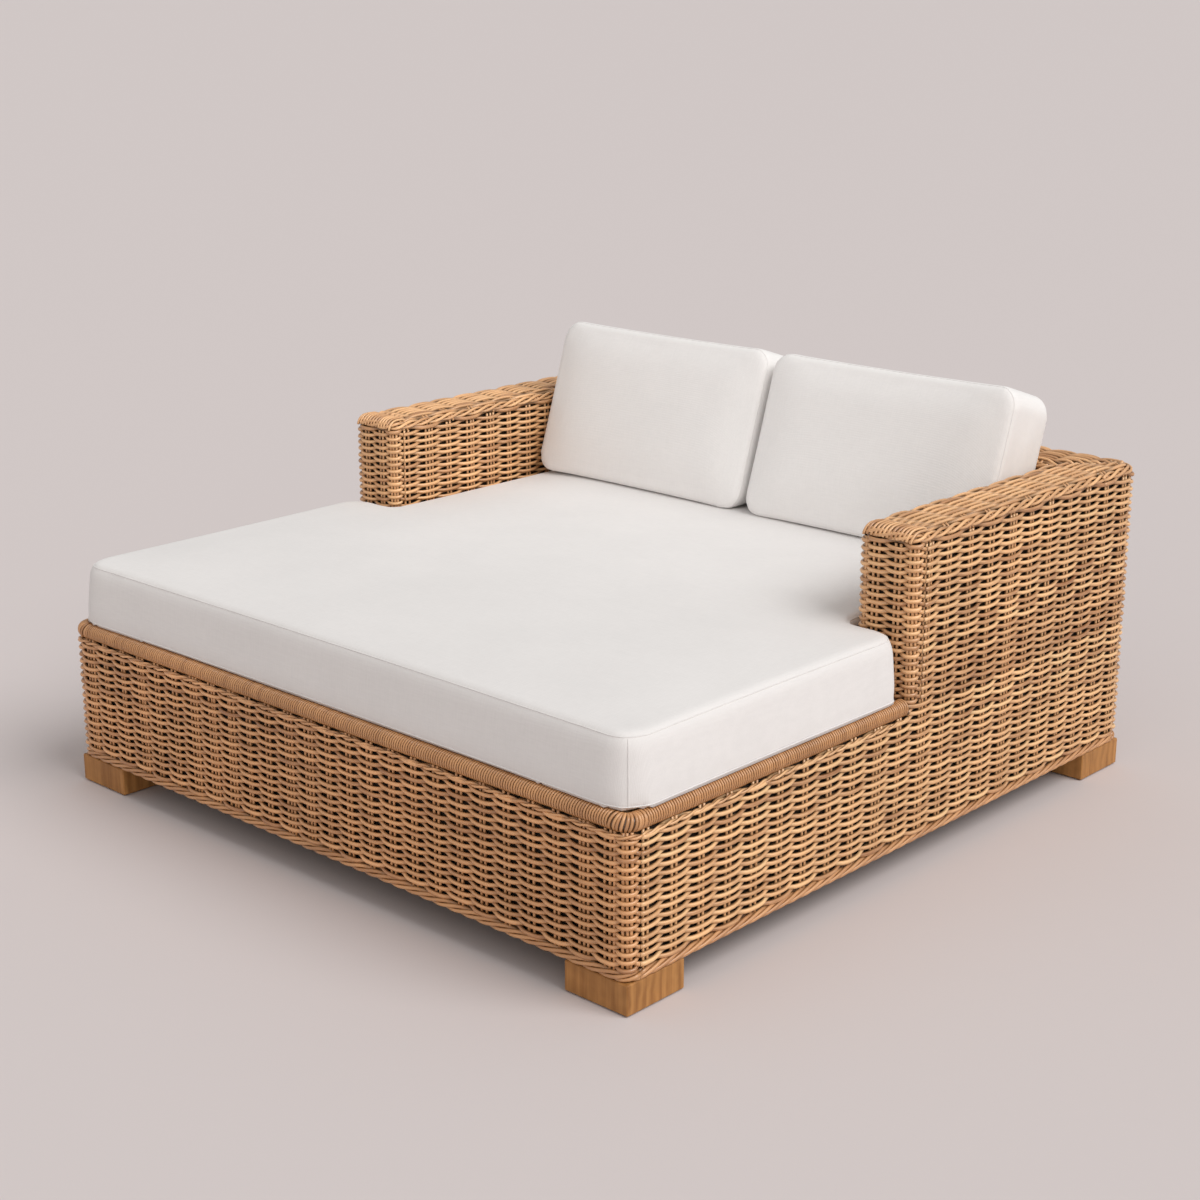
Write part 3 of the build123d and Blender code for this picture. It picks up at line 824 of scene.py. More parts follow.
def cane_material(name, light, dark, shade_depth=0.42, across=5.0):
    """Peeled cane with fibres along each strand, with painted shade at its flanks and where it dives behind the
    rods.
    """
    material, tree, shader, coords = new_material(name, 0.46, coat=0.15)
    shader.inputs["Specular IOR Level"].default_value = 0.85
    link = tree.links.new
    strand = add(tree, "ShaderNodeUVMap", uv_map="strand")
    tint = add(tree, "ShaderNodeAttribute", attribute_name="tint")
    sunk = add(tree, "ShaderNodeAttribute", attribute_name="sunk")
    shift = add(tree, "ShaderNodeMath", operation="MULTIPLY", in_1=37.0)
    link(tint.outputs["Fac"], shift.inputs[0])
    streaks = group_node(tree, streak_group(), Along=22.0, Across=across)
    link(strand.outputs["UV"], streaks.inputs["Vector"])
    link(shift.outputs[0], streaks.inputs["Offset"])
    mixed = add(tree, "ShaderNodeMath", operation="MULTIPLY_ADD", in_1=0.34)
    link(tint.outputs["Fac"], mixed.inputs[0])
    link(streaks.outputs["Mask"], mixed.inputs[2])
    middle = tuple(0.5 * a + 0.5 * b for a, b in zip(light, dark))
    pale = tuple(min(0.9, 1.08 * a + 0.02) for a in light)
    colours = ramp(tree, mixed.outputs[0], [(0.36, dark), (0.56, middle), (0.76, light), (0.98, pale)])
    blotches = group_node(tree, blotch_group(), Scale=7.0, Low=0.90, High=1.10)
    link(coords.outputs["Object"], blotches.inputs["Vector"])
    # Painted shade: the further a point is sunk, the darker it is, down to shade_depth.
    depth = add(tree, "ShaderNodeMapRange", in_1=0.25, in_2=1.0, in_3=1.0, in_4=shade_depth)
    link(sunk.outputs["Fac"], depth.inputs[0])
    # Painted shade along both flanks of each strand.
    flanks = group_node(tree, flank_shade_group())
    link(strand.outputs["UV"], flanks.inputs["Vector"])
    shaded = times(tree, colours.outputs["Color"], depth.outputs[0])
    shaded = times(tree, shaded, flanks.outputs["Factor"])
    shaded = times(tree, shaded, blotches.outputs["Factor"])
    link(shaded, shader.inputs["Base Color"])
    rough = add(tree, "ShaderNodeMapRange", in_1=0.3, in_2=0.7, in_3=0.30, in_4=0.48)
    link(streaks.outputs["Mask"], rough.inputs[0])
    link(rough.outputs[0], shader.inputs["Roughness"])
    bump(tree, shader, streaks.outputs["Height"], 0.35, 0.0006)
    return material


def wood_material(name, light, dark, axis, scale=1.0, roughness=0.5):
    """Sawn wood with its grain along one axis of the object."""
    material, tree, shader, coords = new_material(name, roughness, coat=0.02)
    shader.inputs["Specular IOR Level"].default_value = 0.30
    link = tree.links.new
    turned = add(tree, "ShaderNodeMapping")
    turned.inputs["Rotation"].default_value = GRAIN_TURNS[axis]
    link(coords.outputs["Object"], turned.inputs["Vector"])
    parts = add(tree, "ShaderNodeSeparateXYZ")
    link(turned.outputs[0], parts.inputs[0])
    second = add(tree, "ShaderNodeMath", operation="ADD")
    link(parts.outputs["Y"], second.inputs[0])
    link(parts.outputs["Z"], second.inputs[1])
    streaks = group_node(tree, streak_group(), Along=9.0 * scale, Across=260.0 * scale)
    link(turned.outputs[0], streaks.inputs["Vector"])
    offset = add(tree, "ShaderNodeMath", operation="MULTIPLY", in_1=170.0 * scale)
    link(parts.outputs["Z"], offset.inputs[0])
    link(offset.outputs[0], streaks.inputs["Offset"])
    rings = bands(tree, "Y", 14.0 * scale, distortion=7.0, detail=3.0, detail_scale=0.8)
    link(turned.outputs[0], rings.inputs["Vector"])
    mixed = add(tree, "ShaderNodeMath", operation="MULTIPLY_ADD", in_1=0.22)
    link(rings.outputs["Fac"], mixed.inputs[0])
    link(streaks.outputs["Mask"], mixed.inputs[2])
    middle = tuple(0.5 * a + 0.5 * b for a, b in zip(light, dark))
    colours = ramp(tree, mixed.outputs[0], [(0.38, dark), (0.58, middle), (0.78, light)])
    blotches = group_node(tree, blotch_group(), Scale=14.0, Low=0.90, High=1.06)
    link(coords.outputs["Object"], blotches.inputs["Vector"])
    link(times(tree, colours.outputs["Color"], blotches.outputs["Factor"]), shader.inputs["Base Color"])
    bump(tree, shader, streaks.outputs["Height"], 0.25, 0.0005)
    return material


def linen_material(name, colour):
    """Fine plain-woven cloth with slubs both ways."""
    material, tree, shader, coords = new_material(name, 0.92, sheen=0.15)
    link = tree.links.new
    heights = []
    for direction in ("X", "Y", "Z"):
        wave = bands(tree, direction, 190.0, distortion=1.2, detail=2.0, detail_scale=2.0)
        link(coords.outputs["Object"], wave.inputs["Vector"])
        heights.append(wave.outputs["Fac"])
    first = add(tree, "ShaderNodeMath", operation="ADD")
    second = add(tree, "ShaderNodeMath", operation="ADD")
    link(heights[0], first.inputs[0])
    link(heights[1], first.inputs[1])
    link(first.outputs[0], second.inputs[0])
    link(heights[2], second.inputs[1])
    slubs = []
    for stretch in ((520.0, 40.0, 40.0), (40.0, 520.0, 520.0)):
        mapping = add(tree, "ShaderNodeMapping")
        mapping.inputs["Scale"].default_value = stretch
        noise = add(tree, "ShaderNodeTexNoise", in_Scale=1.0, in_Detail=2.0, in_Roughness=0.5)
        link(coords.outputs["Object"], mapping.inputs["Vector"])
        link(mapping.outputs[0], noise.inputs["Vector"])
        slubs.append(noise.outputs["Fac"])
    both = add(tree, "ShaderNodeMath", operation="ADD")
    link(slubs[0], both.inputs[0])
    link(slubs[1], both.inputs[1])
    tone = add(tree, "ShaderNodeMapRange", in_1=0.7, in_2=1.3, in_3=0.975, in_4=1.020)
    link(both.outputs[0], tone.inputs[0])
    base = add(tree, "ShaderNodeRGB")
    base.outputs[0].default_value = (*colour, 1.0)
    blotches = group_node(tree, blotch_group(), Scale=5.0, Low=0.975, High=1.015)
    link(coords.outputs["Object"], blotches.inputs["Vector"])
    shaded = times(tree, base.outputs[0], tone.outputs[0])
    link(times(tree, shaded, blotches.outputs["Factor"]), shader.inputs["Base Color"])
    bump(tree, shader, second.outputs[0], 0.25, 0.0004)
    return material


def plain_material(name, colour, roughness, metallic=0.0, scale=60.0):
    """Metal, plastic or foam with a little unevenness."""
    material, tree, shader, coords = new_material(name, roughness, metallic=metallic)
    link = tree.links.new
    base = add(tree, "ShaderNodeRGB")
    base.outputs[0].default_value = (*colour, 1.0)
    blotches = group_node(tree, blotch_group(), Scale=scale, Low=0.88, High=1.08)
    link(coords.outputs["Object"], blotches.inputs["Vector"])
    link(times(tree, base.outputs[0], blotches.outputs["Factor"]), shader.inputs["Base Color"])
    grains = add(tree, "ShaderNodeTexNoise", in_Scale=scale * 20, in_Detail=2.0)
    link(coords.outputs["Object"], grains.inputs["Vector"])
    bump(tree, shader, grains.outputs["Fac"], 0.2, 0.0004)
    return material


def shared_material(name, maker, *values, **options):
    """The named material, made the first time it is asked for."""
    return bpy.data.materials.get(name) or maker(name, *values, **options)


# The front tint darkens the front wall's cane as painted shade, and the side tint lightens the side and rear walls'
# cane as painted light; the edge tint is the deeper tone of the rim and braid cane.
FRONT_SHADE_TINT, SIDE_LIGHT_TINT, EDGE_TINT = (0.92, 0.84, 0.77), (1.05, 1.09, 1.12), (0.76, 0.68, 0.59)
SHADE_COLOUR = (0.030, 0.018, 0.010)


def cane(title, tint, **options):
    """Cane of the shared colours, with its light tone tinted."""
    finish = bpy.context.scene.daybed_finish
    light = tuple(share * part for share, part in zip(finish.cane_light, tint))
    return shared_material(title, cane_material, light, tuple(finish.cane_dark), **options)


def wall_cane(name):
    """The cane of a wall: darker at the front of the base as painted shade, and paler at its sides and rear as
    painted light.
    """
    if name == "front":
        return cane("Front cane in painted shade", FRONT_SHADE_TINT)
    return cane("Side cane in painted light", SIDE_LIGHT_TINT) if name in WALLS else cane("Woven cane", (1.0, 1.0, 1.0))


def edge_cane():
    """The thinner cane of the wound rim and the foot braid, of a deeper tone, with deeper painted shade where it
    sinks between turns and strands.
    """
    return cane("Edge cane", EDGE_TINT, shade_depth=0.25, across=3.0)


def settle_weave(bundle, name):
    """Turns a bundle into the weave of one skin, over its dark inner face of painted shade."""
    shade = shared_material("Weave inner face in painted shade", plain_material, SHADE_COLOUR, 0.9)
    settle(bundle.piece(f"{name}_weave", wall_cane(name), shade), [f"{name}_skin"])


def settle(piece, node_names, body="frame"):
    """Ties a finished piece to its body and hides the solids that it stands for."""
    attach(piece, body)
    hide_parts(*node_names)


# Woven pieces

THICK_CANE = 0.0031


class DAYBED_OT_weave_base(bpy.types.Operator):
    """Weave the four walls of the base"""

    bl_idname = "daybed.weave_base"
    bl_label = "Weave the base"

    ROD_SINK, ROD_RISE = 0.006, 0.004
    CORD_OUT, CORD_DROP = 0.0046, 0.0035

    def execute(self, context):
        settings = context.scene.daybed_weave
        course = base_course()
        weaver = Weaver(course)
        foot, head = BORDER_TOP - self.ROD_SINK, SKIN_TOP + self.ROD_RISE
        for name, (begin, end) in WALLS.items():
            bundle = Bundle()
            top = RAIL_Z if name != "front" else SKIN_TOP
            for number, height in row_heights(BORDER_TOP, top, settings.row_pitch):
                clear = 0.0
                if height > SKIN_TOP:
                    clear = ARM_OFFSET + (CORNER_RADIUS if height > ARM_FRONT_Z else 0.0)
                start, stop = self.behind(name, clear)
                weaver.row(bundle, number, settings.skin_inset, height, 0.0, start, stop)
            if name in ("front", "rear"):
                weaver.rods(bundle, begin, end, foot, head if name == "front" else RAIL_Z)
                shade_sheet_wall(bundle, course, begin, end, BORDER_TOP, top)
            else:
                weaver.rods(bundle, *self.before_arm(name), foot, head)
                weaver.rods(bundle, *self.behind(name, ARM_OFFSET), foot, RAIL_Z)
                shade_sheet_wall(bundle, course, begin, end, BORDER_TOP, SKIN_TOP)
                steps = (settings.shade_sheet_depth, SKIN_TOP, ARM_FRONT_Z), (CORNER_RADIUS, ARM_FRONT_Z, RAIL_Z)
                for clear, low, high in steps:
                    shade_sheet_wall(bundle, course, *self.behind(name, ARM_OFFSET + clear), low, high)
            if name != "rear":
                inset, height = settings.skin_inset - self.CORD_OUT, SKIN_TOP - self.CORD_DROP
                rope(bundle, course, self.before_arm(name), inset, height, **RIM_CORD)
            settle_weave(bundle, name)
        return {"FINISHED"}

    def behind(self, name, clear):
        """The span of a wall, with a clear run left off a side wall's front end."""
        begin, end = WALLS[name]
        return (begin + clear if name == "left_side" else begin), (end - clear if name == "right_side" else end)

    def before_arm(self, name):
        """The span of a wall, of a side wall only the run ahead of the arm."""
        begin, end = WALLS[name]
        start = end - ARM_OFFSET if name == "right_side" else begin
        return start, (begin + ARM_OFFSET if name == "left_side" else end)


BINDING_END, BINDING_FADE = ARM_FRONT_Y + 0.066, 0.012


def bury_under_binding(face):
    """One where a strand passes under the binding at an arm's end, and nothing elsewhere."""
    return np.clip((BINDING_END - face[:, 1]) / BINDING_FADE, 0.0, 1.0)


def top_rows(pitch, middle_radius):
    """Quarter rows of the rounded top edges as (number, inset, height, tilt)."""
    first = BORDER_TOP + pitch / 2
    below = int((RAIL_Z - first) / pitch)
    number = below + 1
    run = first + number * pitch - RAIL_Z
    rows = []
    while run < middle_radius * QUARTER:
        tilt = run / middle_radius
        rows.append((number, EDGE_RADIUS - middle_radius * cos(tilt), RAIL_Z + middle_radius * sin(tilt), tilt))
        run += pitch
        number += 1
    return rows


class DAYBED_OT_weave_surround(bpy.types.Operator):
    """Weave the fronts, insides and tops of the arms and the back"""

    bl_idname = "daybed.weave_surround"
    bl_label = "Weave the arms and back"

    CORD_MIX, CORD_LIFT = 0.62, 0.0012
    FRONT_LAP, TUCK, MARGIN = 0.002, 0.014, 0.004
    BIND_LIFT, BIND_REACH, BIND_SPREAD = 0.0042, 0.034, 0.0025
    BIND_MARGIN, BIND_FALL, BIND_SLANT = 0.62, 0.9, 0.004
    BIND_RUN, BIND_DIVE = (0.3, 0.6, 0.85, 1.0), (0.0, -0.0004, -0.0030, -0.0085)

    def execute(self, context):
        settings, edges = context.scene.daybed_weave, context.scene.daybed_edges
        course = surround_course()
        weaver = Weaver(course)
        inset, pitch = settings.skin_inset, settings.row_pitch
        inner_bend = INNER_CORNER * QUARTER
        arm_run = REAR_Y - ARM_FRONT_Y - 2 * CORNER_RADIUS
        front_run = ARM_THICKNESS - 2 * CORNER_RADIUS
        inner_run = BACK_INNER_Y - ARM_FRONT_Y - CORNER_RADIUS
        rear_left = arm_run + BEND_RUN
        right_front = rear_left + FRONT_RUN + BEND_RUN + arm_run
        right_inner = right_front + 2 * BEND_RUN + front_run
        back_inner = right_inner + inner_run + inner_bend
        left_inner = back_inner + 2 * ARM_INNER_X + inner_bend
        left_front = left_inner + inner_run

        for name, begin, end, bottom in (
            ("right_arm_front", right_front, right_inner, ARM_FRONT_Z),
            ("right_arm_inner", right_inner, right_inner + inner_run, RIM_Z),
            ("back_inner", right_inner + inner_run, left_inner, RIM_Z),
            ("left_arm_inner", left_inner, left_front, RIM_Z),
            ("left_arm_front", left_front, left_front + 2 * BEND_RUN + front_run, ARM_FRONT_Z),
        ):
            bundle = Bundle()
            for number, height in row_heights(bottom, RAIL_Z, pitch):
                weaver.row(bundle, number, inset, height, 0.0, begin, end)
            weaver.rods(bundle, begin, end, bottom, RAIL_Z)
            shade_sheet_wall(bundle, course, begin, end, bottom, RAIL_Z)
            settle_weave(bundle, name)

        middle_radius = EDGE_RADIUS - inset
        curved = top_rows(pitch, middle_radius)
        last_number, last_tilt = curved[-1][0], curved[-1][3]
        flat_start = EDGE_RADIUS + (last_tilt * middle_radius + pitch - middle_radius * QUARTER)
        flat_count = 1 + round((ARM_THICKNESS - 2 * flat_start) / pitch)
        flats = np.linspace(flat_start, ARM_THICKNESS - flat_start, flat_count)
        corner_in = BACK_INNER_Y - (ARM_FRONT_Y + CORNER_RADIUS)
        tops = {
            "left_arm_top": [(left_inner, course.total + corner_in)],
            "right_arm_top": [(right_front - corner_in, right_inner + inner_run)],
            "back_top": [(corner_in, right_front - corner_in), (right_inner + inner_run, left_inner)],
        }
        cord_tilt = self.CORD_MIX * curved[1][3] + (1 - self.CORD_MIX) * curved[2][3]
        cord_radius = middle_radius + self.CORD_LIFT
        cord_inset, cord_z = EDGE_RADIUS - cord_radius * cos(cord_tilt), RAIL_Z + cord_radius * sin(cord_tilt)
        for name, spans in tops.items():
            bundle = Bundle()
            for begin, end in spans:
                weaver.row(bundle, *curved[0], begin, end)
                for number, row_inset, height, tilt in curved[3:]:
                    weaver.row(bundle, number, row_inset, height, tilt, begin, end, bury=bury_under_binding)
                rope(bundle, course, (begin, end), cord_inset, cord_z, cord_tilt, lay=edges.edge_lay, **EDGE_CORD)
            top_course = self.top_course(name)
            top_weaver = Weaver(top_course)
            for number, inset in enumerate(flats, last_number + 1):
                begin, end = inset, top_course.total - inset
                if name == "left_arm_top":
                    begin = EDGE_RADIUS - self.FRONT_LAP
                elif name == "right_arm_top":
                    end = top_course.total - EDGE_RADIUS + self.FRONT_LAP
                top_weaver.row(bundle, number, inset, RAIL_Z + middle_radius, QUARTER, begin, end,
                               tuck=self.TUCK, bury=bury_under_binding)
            self.top_rods(bundle, top_course, name, settings, middle_radius)
            if name == "back_top":
                y = REAR_Y - ARM_THICKNESS / 2
                reach = HALF_WIDTH - settings.shade_sheet_depth
                shade_sheet_top(bundle, (reach, y, RAIL_Z), (-reach, y, RAIL_Z), (0, 1, 0))
            else:
                side = 1 if name == "left_arm_top" else -1
                self.binding(bundle, side, settings, edges, middle_radius)
                x = side * (HALF_WIDTH - ARM_THICKNESS / 2)
                ends = [(x, y + settings.shade_sheet_depth, RAIL_Z) for y in (ARM_FRONT_Y, BACK_INNER_Y)]
                shade_sheet_top(bundle, *ends[::side], (side, 0, 0))
            settle_weave(bundle, name)
        return {"FINISHED"}

    def top_course(self, name):
        """The outer edge that a top's flat rows run along."""
        depth = REAR_Y - ARM_FRONT_Y
        columns = [at + SIDE_FIRST - ARM_FRONT_Y for at in SIDE_COLUMNS[BEFORE_ARM:]]
        if name == "back_top":
            across = [CORNER_RADIUS + at for at in FRONT_COLUMNS]
            return Course((HALF_WIDTH, REAR_Y), pi, [(STRAIGHT, 2 * HALF_WIDTH, across)], first=1)
        if name == "left_arm_top":
            return Course((HALF_WIDTH, ARM_FRONT_Y), QUARTER, [(STRAIGHT, depth, columns)])
        backwards = [depth - at for at in reversed(columns)]
        return Course((-HALF_WIDTH, REAR_Y), -QUARTER, [(STRAIGHT, depth, backwards)])

    def top_rods(self, bundle, course, name, settings, middle_radius):
        """Rods that cross the top under the strands."""
        turns = np.linspace(0, QUARTER, 5)
        near = EDGE_RADIUS - middle_radius * np.cos(turns)
        rise = RAIL_Z + middle_radius * np.sin(turns)
        insets = np.concatenate([near, ARM_THICKNESS - near[::-1]])
        heights = np.concatenate([rise, rise[::-1]])
        tilts = np.concatenate([turns, pi - turns[::-1]])
        for place, _ in course.stations:
            for offset in (-0.5, 0.5):
                along = place + offset * settings.rod_spread
                left, right = course.total - along, along
                margin = {"left_arm_top": left, "right_arm_top": right, "back_top": min(left, right)}[name]
                keep = insets < margin - self.MARGIN
                if keep.sum() < 3:
                    continue
                face, level = course.at(np.full(keep.sum(), along))
                centres = face - insets[keep][:, None] * level
                centres[:, 2] = heights[keep]
                normals = np.cos(tilts[keep])[:, None] * level + np.sin(tilts[keep])[:, None] * UP
                bundle.tube(centres, normals, settings.rod_radius, sides=6, sunk=0.35, tint=0.5)

    def binding(self, bundle, side, settings, edges, middle_radius):
        """Strands bound over the front end of an arm, each up the front, over the edge and down into the top."""
        chance = np.random.default_rng(settings.seed + 50 + side)
        margin = EDGE_RADIUS * self.BIND_MARGIN
        low, high = ARM_INNER_X + margin, HALF_WIDTH - margin
        count = int((high - low) / edges.bind_pitch) + 1
        radius = middle_radius + self.BIND_LIFT
        turns = np.linspace(radians(14), QUARTER, 7)
        flat = len(self.BIND_RUN)
        bend_y = ARM_FRONT_Y + EDGE_RADIUS
        normals = np.zeros((len(turns) + flat, 3))
        normals[:, 1] = np.concatenate([-np.cos(turns), np.zeros(flat)])
        normals[:, 2] = np.concatenate([np.sin(turns), np.ones(flat)])
        for x in np.linspace(low, high, count):
            reach = self.BIND_REACH + chance.normal(0, self.BIND_SPREAD)
            y = np.concatenate([bend_y - radius * np.cos(turns), bend_y + reach * np.array(self.BIND_RUN)])
            z = np.concatenate([RAIL_Z + radius * np.sin(turns), RAIL_Z + radius + np.array(self.BIND_DIVE)])
            drop = max(0.0, EDGE_RADIUS - min(x - ARM_INNER_X, HALF_WIDTH - x))
            z = z - (EDGE_RADIUS - sqrt(max(0.0, EDGE_RADIUS**2 - drop**2))) * self.BIND_FALL
            slant = chance.normal(0, 0.0012) + self.BIND_SLANT
            xs = side * (x + slant * np.linspace(0, 1, len(y)))
            bundle.tube(np.stack([xs, y, z], axis=1), normals, THICK_CANE, sunk=0.1, tint=chance.random())


class DAYBED_OT_wind_rim(bpy.types.Operator):
    """Wind cane round the rolls on the rim of the base"""

    bl_idname = "daybed.wind_rim"
    bl_label = "Wind the rim"

    ARM_CLEAR = 0.0003
    CORE_DEPTH = 1.6
    # TURN_SUNK gives each turn a little painted shade.
    TURN_RINGS, TURN_SUNK = 12, 0.20
    LOOPED, LOOP_PITCH, LOOP_DEPTH, LOOP_END = 0.012, 0.0088, 0.0032, 0.003
    LOOP_FROM, LOOP_TO = radians(-100), radians(215)

    def execute(self, context):
        settings = context.scene.daybed_weave
        course = base_course()
        arm_end = ARM_OFFSET - self.ARM_CLEAR
        left, right = WALLS["left_side"][0], WALLS["right_side"][1]
        for name, begin, end in (
            ("front_rim_roll", *WALLS["front"]),
            ("left_rim_roll", left, left + arm_end),
            ("right_rim_roll", right - arm_end, right),
        ):
            bundle = Bundle()
            chance = np.random.default_rng(settings.seed + len(name))
            face, level = course.at(course.samples(begin, end))
            centres = face - ROLL_RADIUS * level + ROLL_Z * UP
            core_radius = ROLL_RADIUS - self.CORE_DEPTH * context.scene.daybed_edges.cane_radius
            # The core is fully sunk, so it shows as painted shade in the grooves between the turns.
            bundle.tube(centres, level, core_radius, sides=12, sunk=1.0, tint=0.0)
            if name == "front_rim_roll":
                plain = (self.LOOPED, FRONT_RUN - self.LOOPED)
                self.turns(bundle, course, *plain, chance)
                self.loops(bundle, course, begin, plain[0], chance)
                self.loops(bundle, course, plain[1], end, chance)
            elif name == "left_rim_roll":
                self.loops(bundle, course, begin, begin + self.LOOPED, chance)
                self.turns(bundle, course, begin + self.LOOPED, end, chance)
            else:
                self.turns(bundle, course, begin, end - self.LOOPED, chance)
                self.loops(bundle, course, end - self.LOOPED, end, chance)
            settle(bundle.piece(f"{name}_winding", edge_cane()), [name])
        return {"FINISHED"}

    def turns(self, bundle, course, begin, end, chance):
        """Close turns of thin cane, cut into lengths with a tint each."""
        edges = bpy.context.scene.daybed_edges
        reach = ROLL_RADIUS - edges.cane_radius
        count = int((end - begin) / edges.cane_pitch)
        for number in range(0, count, 2):
            laps = min(2, count - number)
            step = np.arange(laps * self.TURN_RINGS + 1) / self.TURN_RINGS
            along = begin + (number + step) * (end - begin) / count
            face, level = course.at(along)
            angle = tau * step - pi / 2
            wobble = 1 + 0.012 * chance.normal(0, 1)
            centres = face - (ROLL_RADIUS - reach * wobble * np.cos(angle)[:, None]) * level
            centres[:, 2] = ROLL_Z + reach * wobble * np.sin(angle)
            normals = np.cos(angle)[:, None] * level + np.sin(angle)[:, None] * UP
            tint = 0.40 + 0.24 * chance.random()
            bundle.tube(centres, normals, edges.cane_radius, sunk=self.TURN_SUNK, tint=tint)

    def loops(self, bundle, course, begin, end, chance):
        """Wider loops of thick cane that fan out round a corner."""
        count = max(2, round((end - begin) / self.LOOP_PITCH))
        reach = ROLL_RADIUS - self.LOOP_DEPTH
        angle = np.linspace(self.LOOP_FROM, self.LOOP_TO, 16)
        for place in np.linspace(begin + self.LOOP_END, end - self.LOOP_END, count):
            slant = 0.004 * np.sin(angle) + chance.normal(0, 0.0008)
            face, level = course.at(place + slant)
            centres = face - (ROLL_RADIUS - reach * np.cos(angle)[:, None]) * level
            centres[:, 2] = ROLL_Z + reach * np.sin(angle)
            normals = np.cos(angle)[:, None] * level + np.sin(angle)[:, None] * UP
            bundle.tube(centres, normals, THICK_CANE, sunk=0.1, tint=chance.random())


class DAYBED_OT_braid_foot(bpy.types.Operator):
    """Braid the border round the foot of the base"""

    bl_idname = "daybed.braid_foot"
    bl_label = "Braid the foot"

    BRAID_OUT = 0.0012

    def execute(self, context):
        settings, edges = context.scene.daybed_weave, context.scene.daybed_edges
        course = base_course()
        height, inset = (FOOT_Z + BORDER_TOP) / 2, settings.skin_inset - self.BRAID_OUT
        for wall, span in WALLS.items():
            bundle = Bundle()
            rope(bundle, course, span, inset, height, lay=edges.braid_lay, radius=edges.braid_radius, **FOOT_BRAID)
            settle(bundle.piece(f"{wall}_border_braid", edge_cane()), [f"{wall}_border"])
        return {"FINISHED"}


# Frame, deck and feet

ZINC, BLACK_PLASTIC, FOAM = (0.58, 0.59, 0.60), (0.035, 0.035, 0.035), (0.80, 0.74, 0.58)


class DAYBED_OT_finish_frame(bpy.types.Operator):
    """Give the poles, deck, feet and fittings their materials"""

    bl_idname = "daybed.finish_frame"
    bl_label = "Finish the frame and feet"

    def execute(self, context):
        finish = context.scene.daybed_finish
        oak = (tuple(finish.oak_light), tuple(finish.oak_dark))
        deck = (tuple(finish.deck_light), tuple(finish.deck_dark))
        pole = (tuple(0.8 * c for c in finish.cane_light), tuple(finish.cane_dark))
        sawn = {"scale": 0.8, "roughness": 0.7}
        round_pole = {"scale": 1.2, "roughness": 0.55}
        for name, thing in frame["nodes"].items():
            if name.endswith("_leg"):
                material = shared_material("Oiled oak", wood_material, *oak, "Z", scale=1.0, roughness=0.48)
            elif name.endswith("_bearer"):
                material = shared_material("Bearer timber", wood_material, *deck, "Y", **sawn)
            elif name == "deck_slats":
                material = shared_material("Slat timber", wood_material, *deck, "X", **sawn)
            elif name.endswith("_post"):
                material = shared_material("Upright pole", wood_material, *pole, "Z", **round_pole)
            elif name.endswith("_rail"):
                axis = "X" if name.startswith(("front", "rear", "back")) else "Y"
                material = shared_material(f"Level pole {axis}", wood_material, *pole, axis, **round_pole)
            elif name in ("leg_plates", "leg_screws"):
                material = shared_material("Zinc plate", plain_material, ZINC, 0.42, metallic=1.0)
            elif name == "leg_glides":
                material = shared_material("Glide plastic", plain_material, BLACK_PLASTIC, 0.55)
            elif name.endswith("_core"):
                material = shared_material("Foam", plain_material, FOAM, 0.95, scale=30.0)
            else:
                continue
            thing.data.materials.clear()
            thing.data.materials.append(material)
        return {"FINISHED"}


# Cushions

def only(thing):
    """Selects one object and makes it active."""
    bpy.ops.object.select_all(action="DESELECT")
    thing.select_set(True)
    bpy.context.view_layer.objects.active = thing


def outer_shell(node, name):
    """A copy of a cover's outside as one closed mesh, which fill_cover later draws in a little before it is filled.
    """
    source = frame["nodes"][node]
    only(source)
    bpy.ops.object.duplicate()
    thing = bpy.context.active_object
    thing.name = name
    thing.parent = None
    thing.matrix_world = Matrix.Identity(4)
    thing.data.name = name
    bpy.ops.object.mode_set(mode="EDIT")
    bpy.ops.mesh.select_all(action="SELECT")
    bpy.ops.mesh.remove_doubles(threshold=0.00002)
    bpy.ops.mesh.select_all(action="DESELECT")
    bpy.ops.object.mode_set(mode="OBJECT")
    outermost = int(np.argmax(points_of(thing)[:, 0]))
    thing.data.vertices[outermost].select = True
    bpy.ops.object.mode_set(mode="EDIT")
    bpy.ops.mesh.select_linked()
    bpy.ops.mesh.select_all(action="INVERT")
    bpy.ops.mesh.delete(type="VERT")
    bpy.ops.mesh.select_all(action="SELECT")
    bpy.ops.mesh.normals_make_consistent(inside=False)
    bpy.ops.object.mode_set(mode="OBJECT")
    thing.data.materials.clear()
    return thing


def apply_modifier(thing, kind, **values):
    """Adds a modifier with values and applies it."""
    only(thing)
    modifier = thing.modifiers.new(kind.lower(), kind)
    for key, value in values.items():
        setattr(modifier, key, value)
    bpy.ops.object.modifier_apply(modifier=modifier.name)


def points_of(thing, what="co"):
    """The places of a mesh's points, or their normals."""
    values = np.zeros(len(thing.data.vertices) * 3)
    thing.data.vertices.foreach_get(what, values)
    return values.reshape(-1, 3)


def set_points(thing, places):
    """Moves a mesh's points to places."""
    thing.data.vertices.foreach_set("co", places.astype(np.float32).ravel())
    thing.data.update()


FILLING_FRAMES = 20
CLOTH = {
    "quality": 5, "mass": 0.3, "tension_stiffness": 15, "compression_stiffness": 15,
    "bending_stiffness": 2.0, "use_pressure": True,
}
BROAD = 0.96


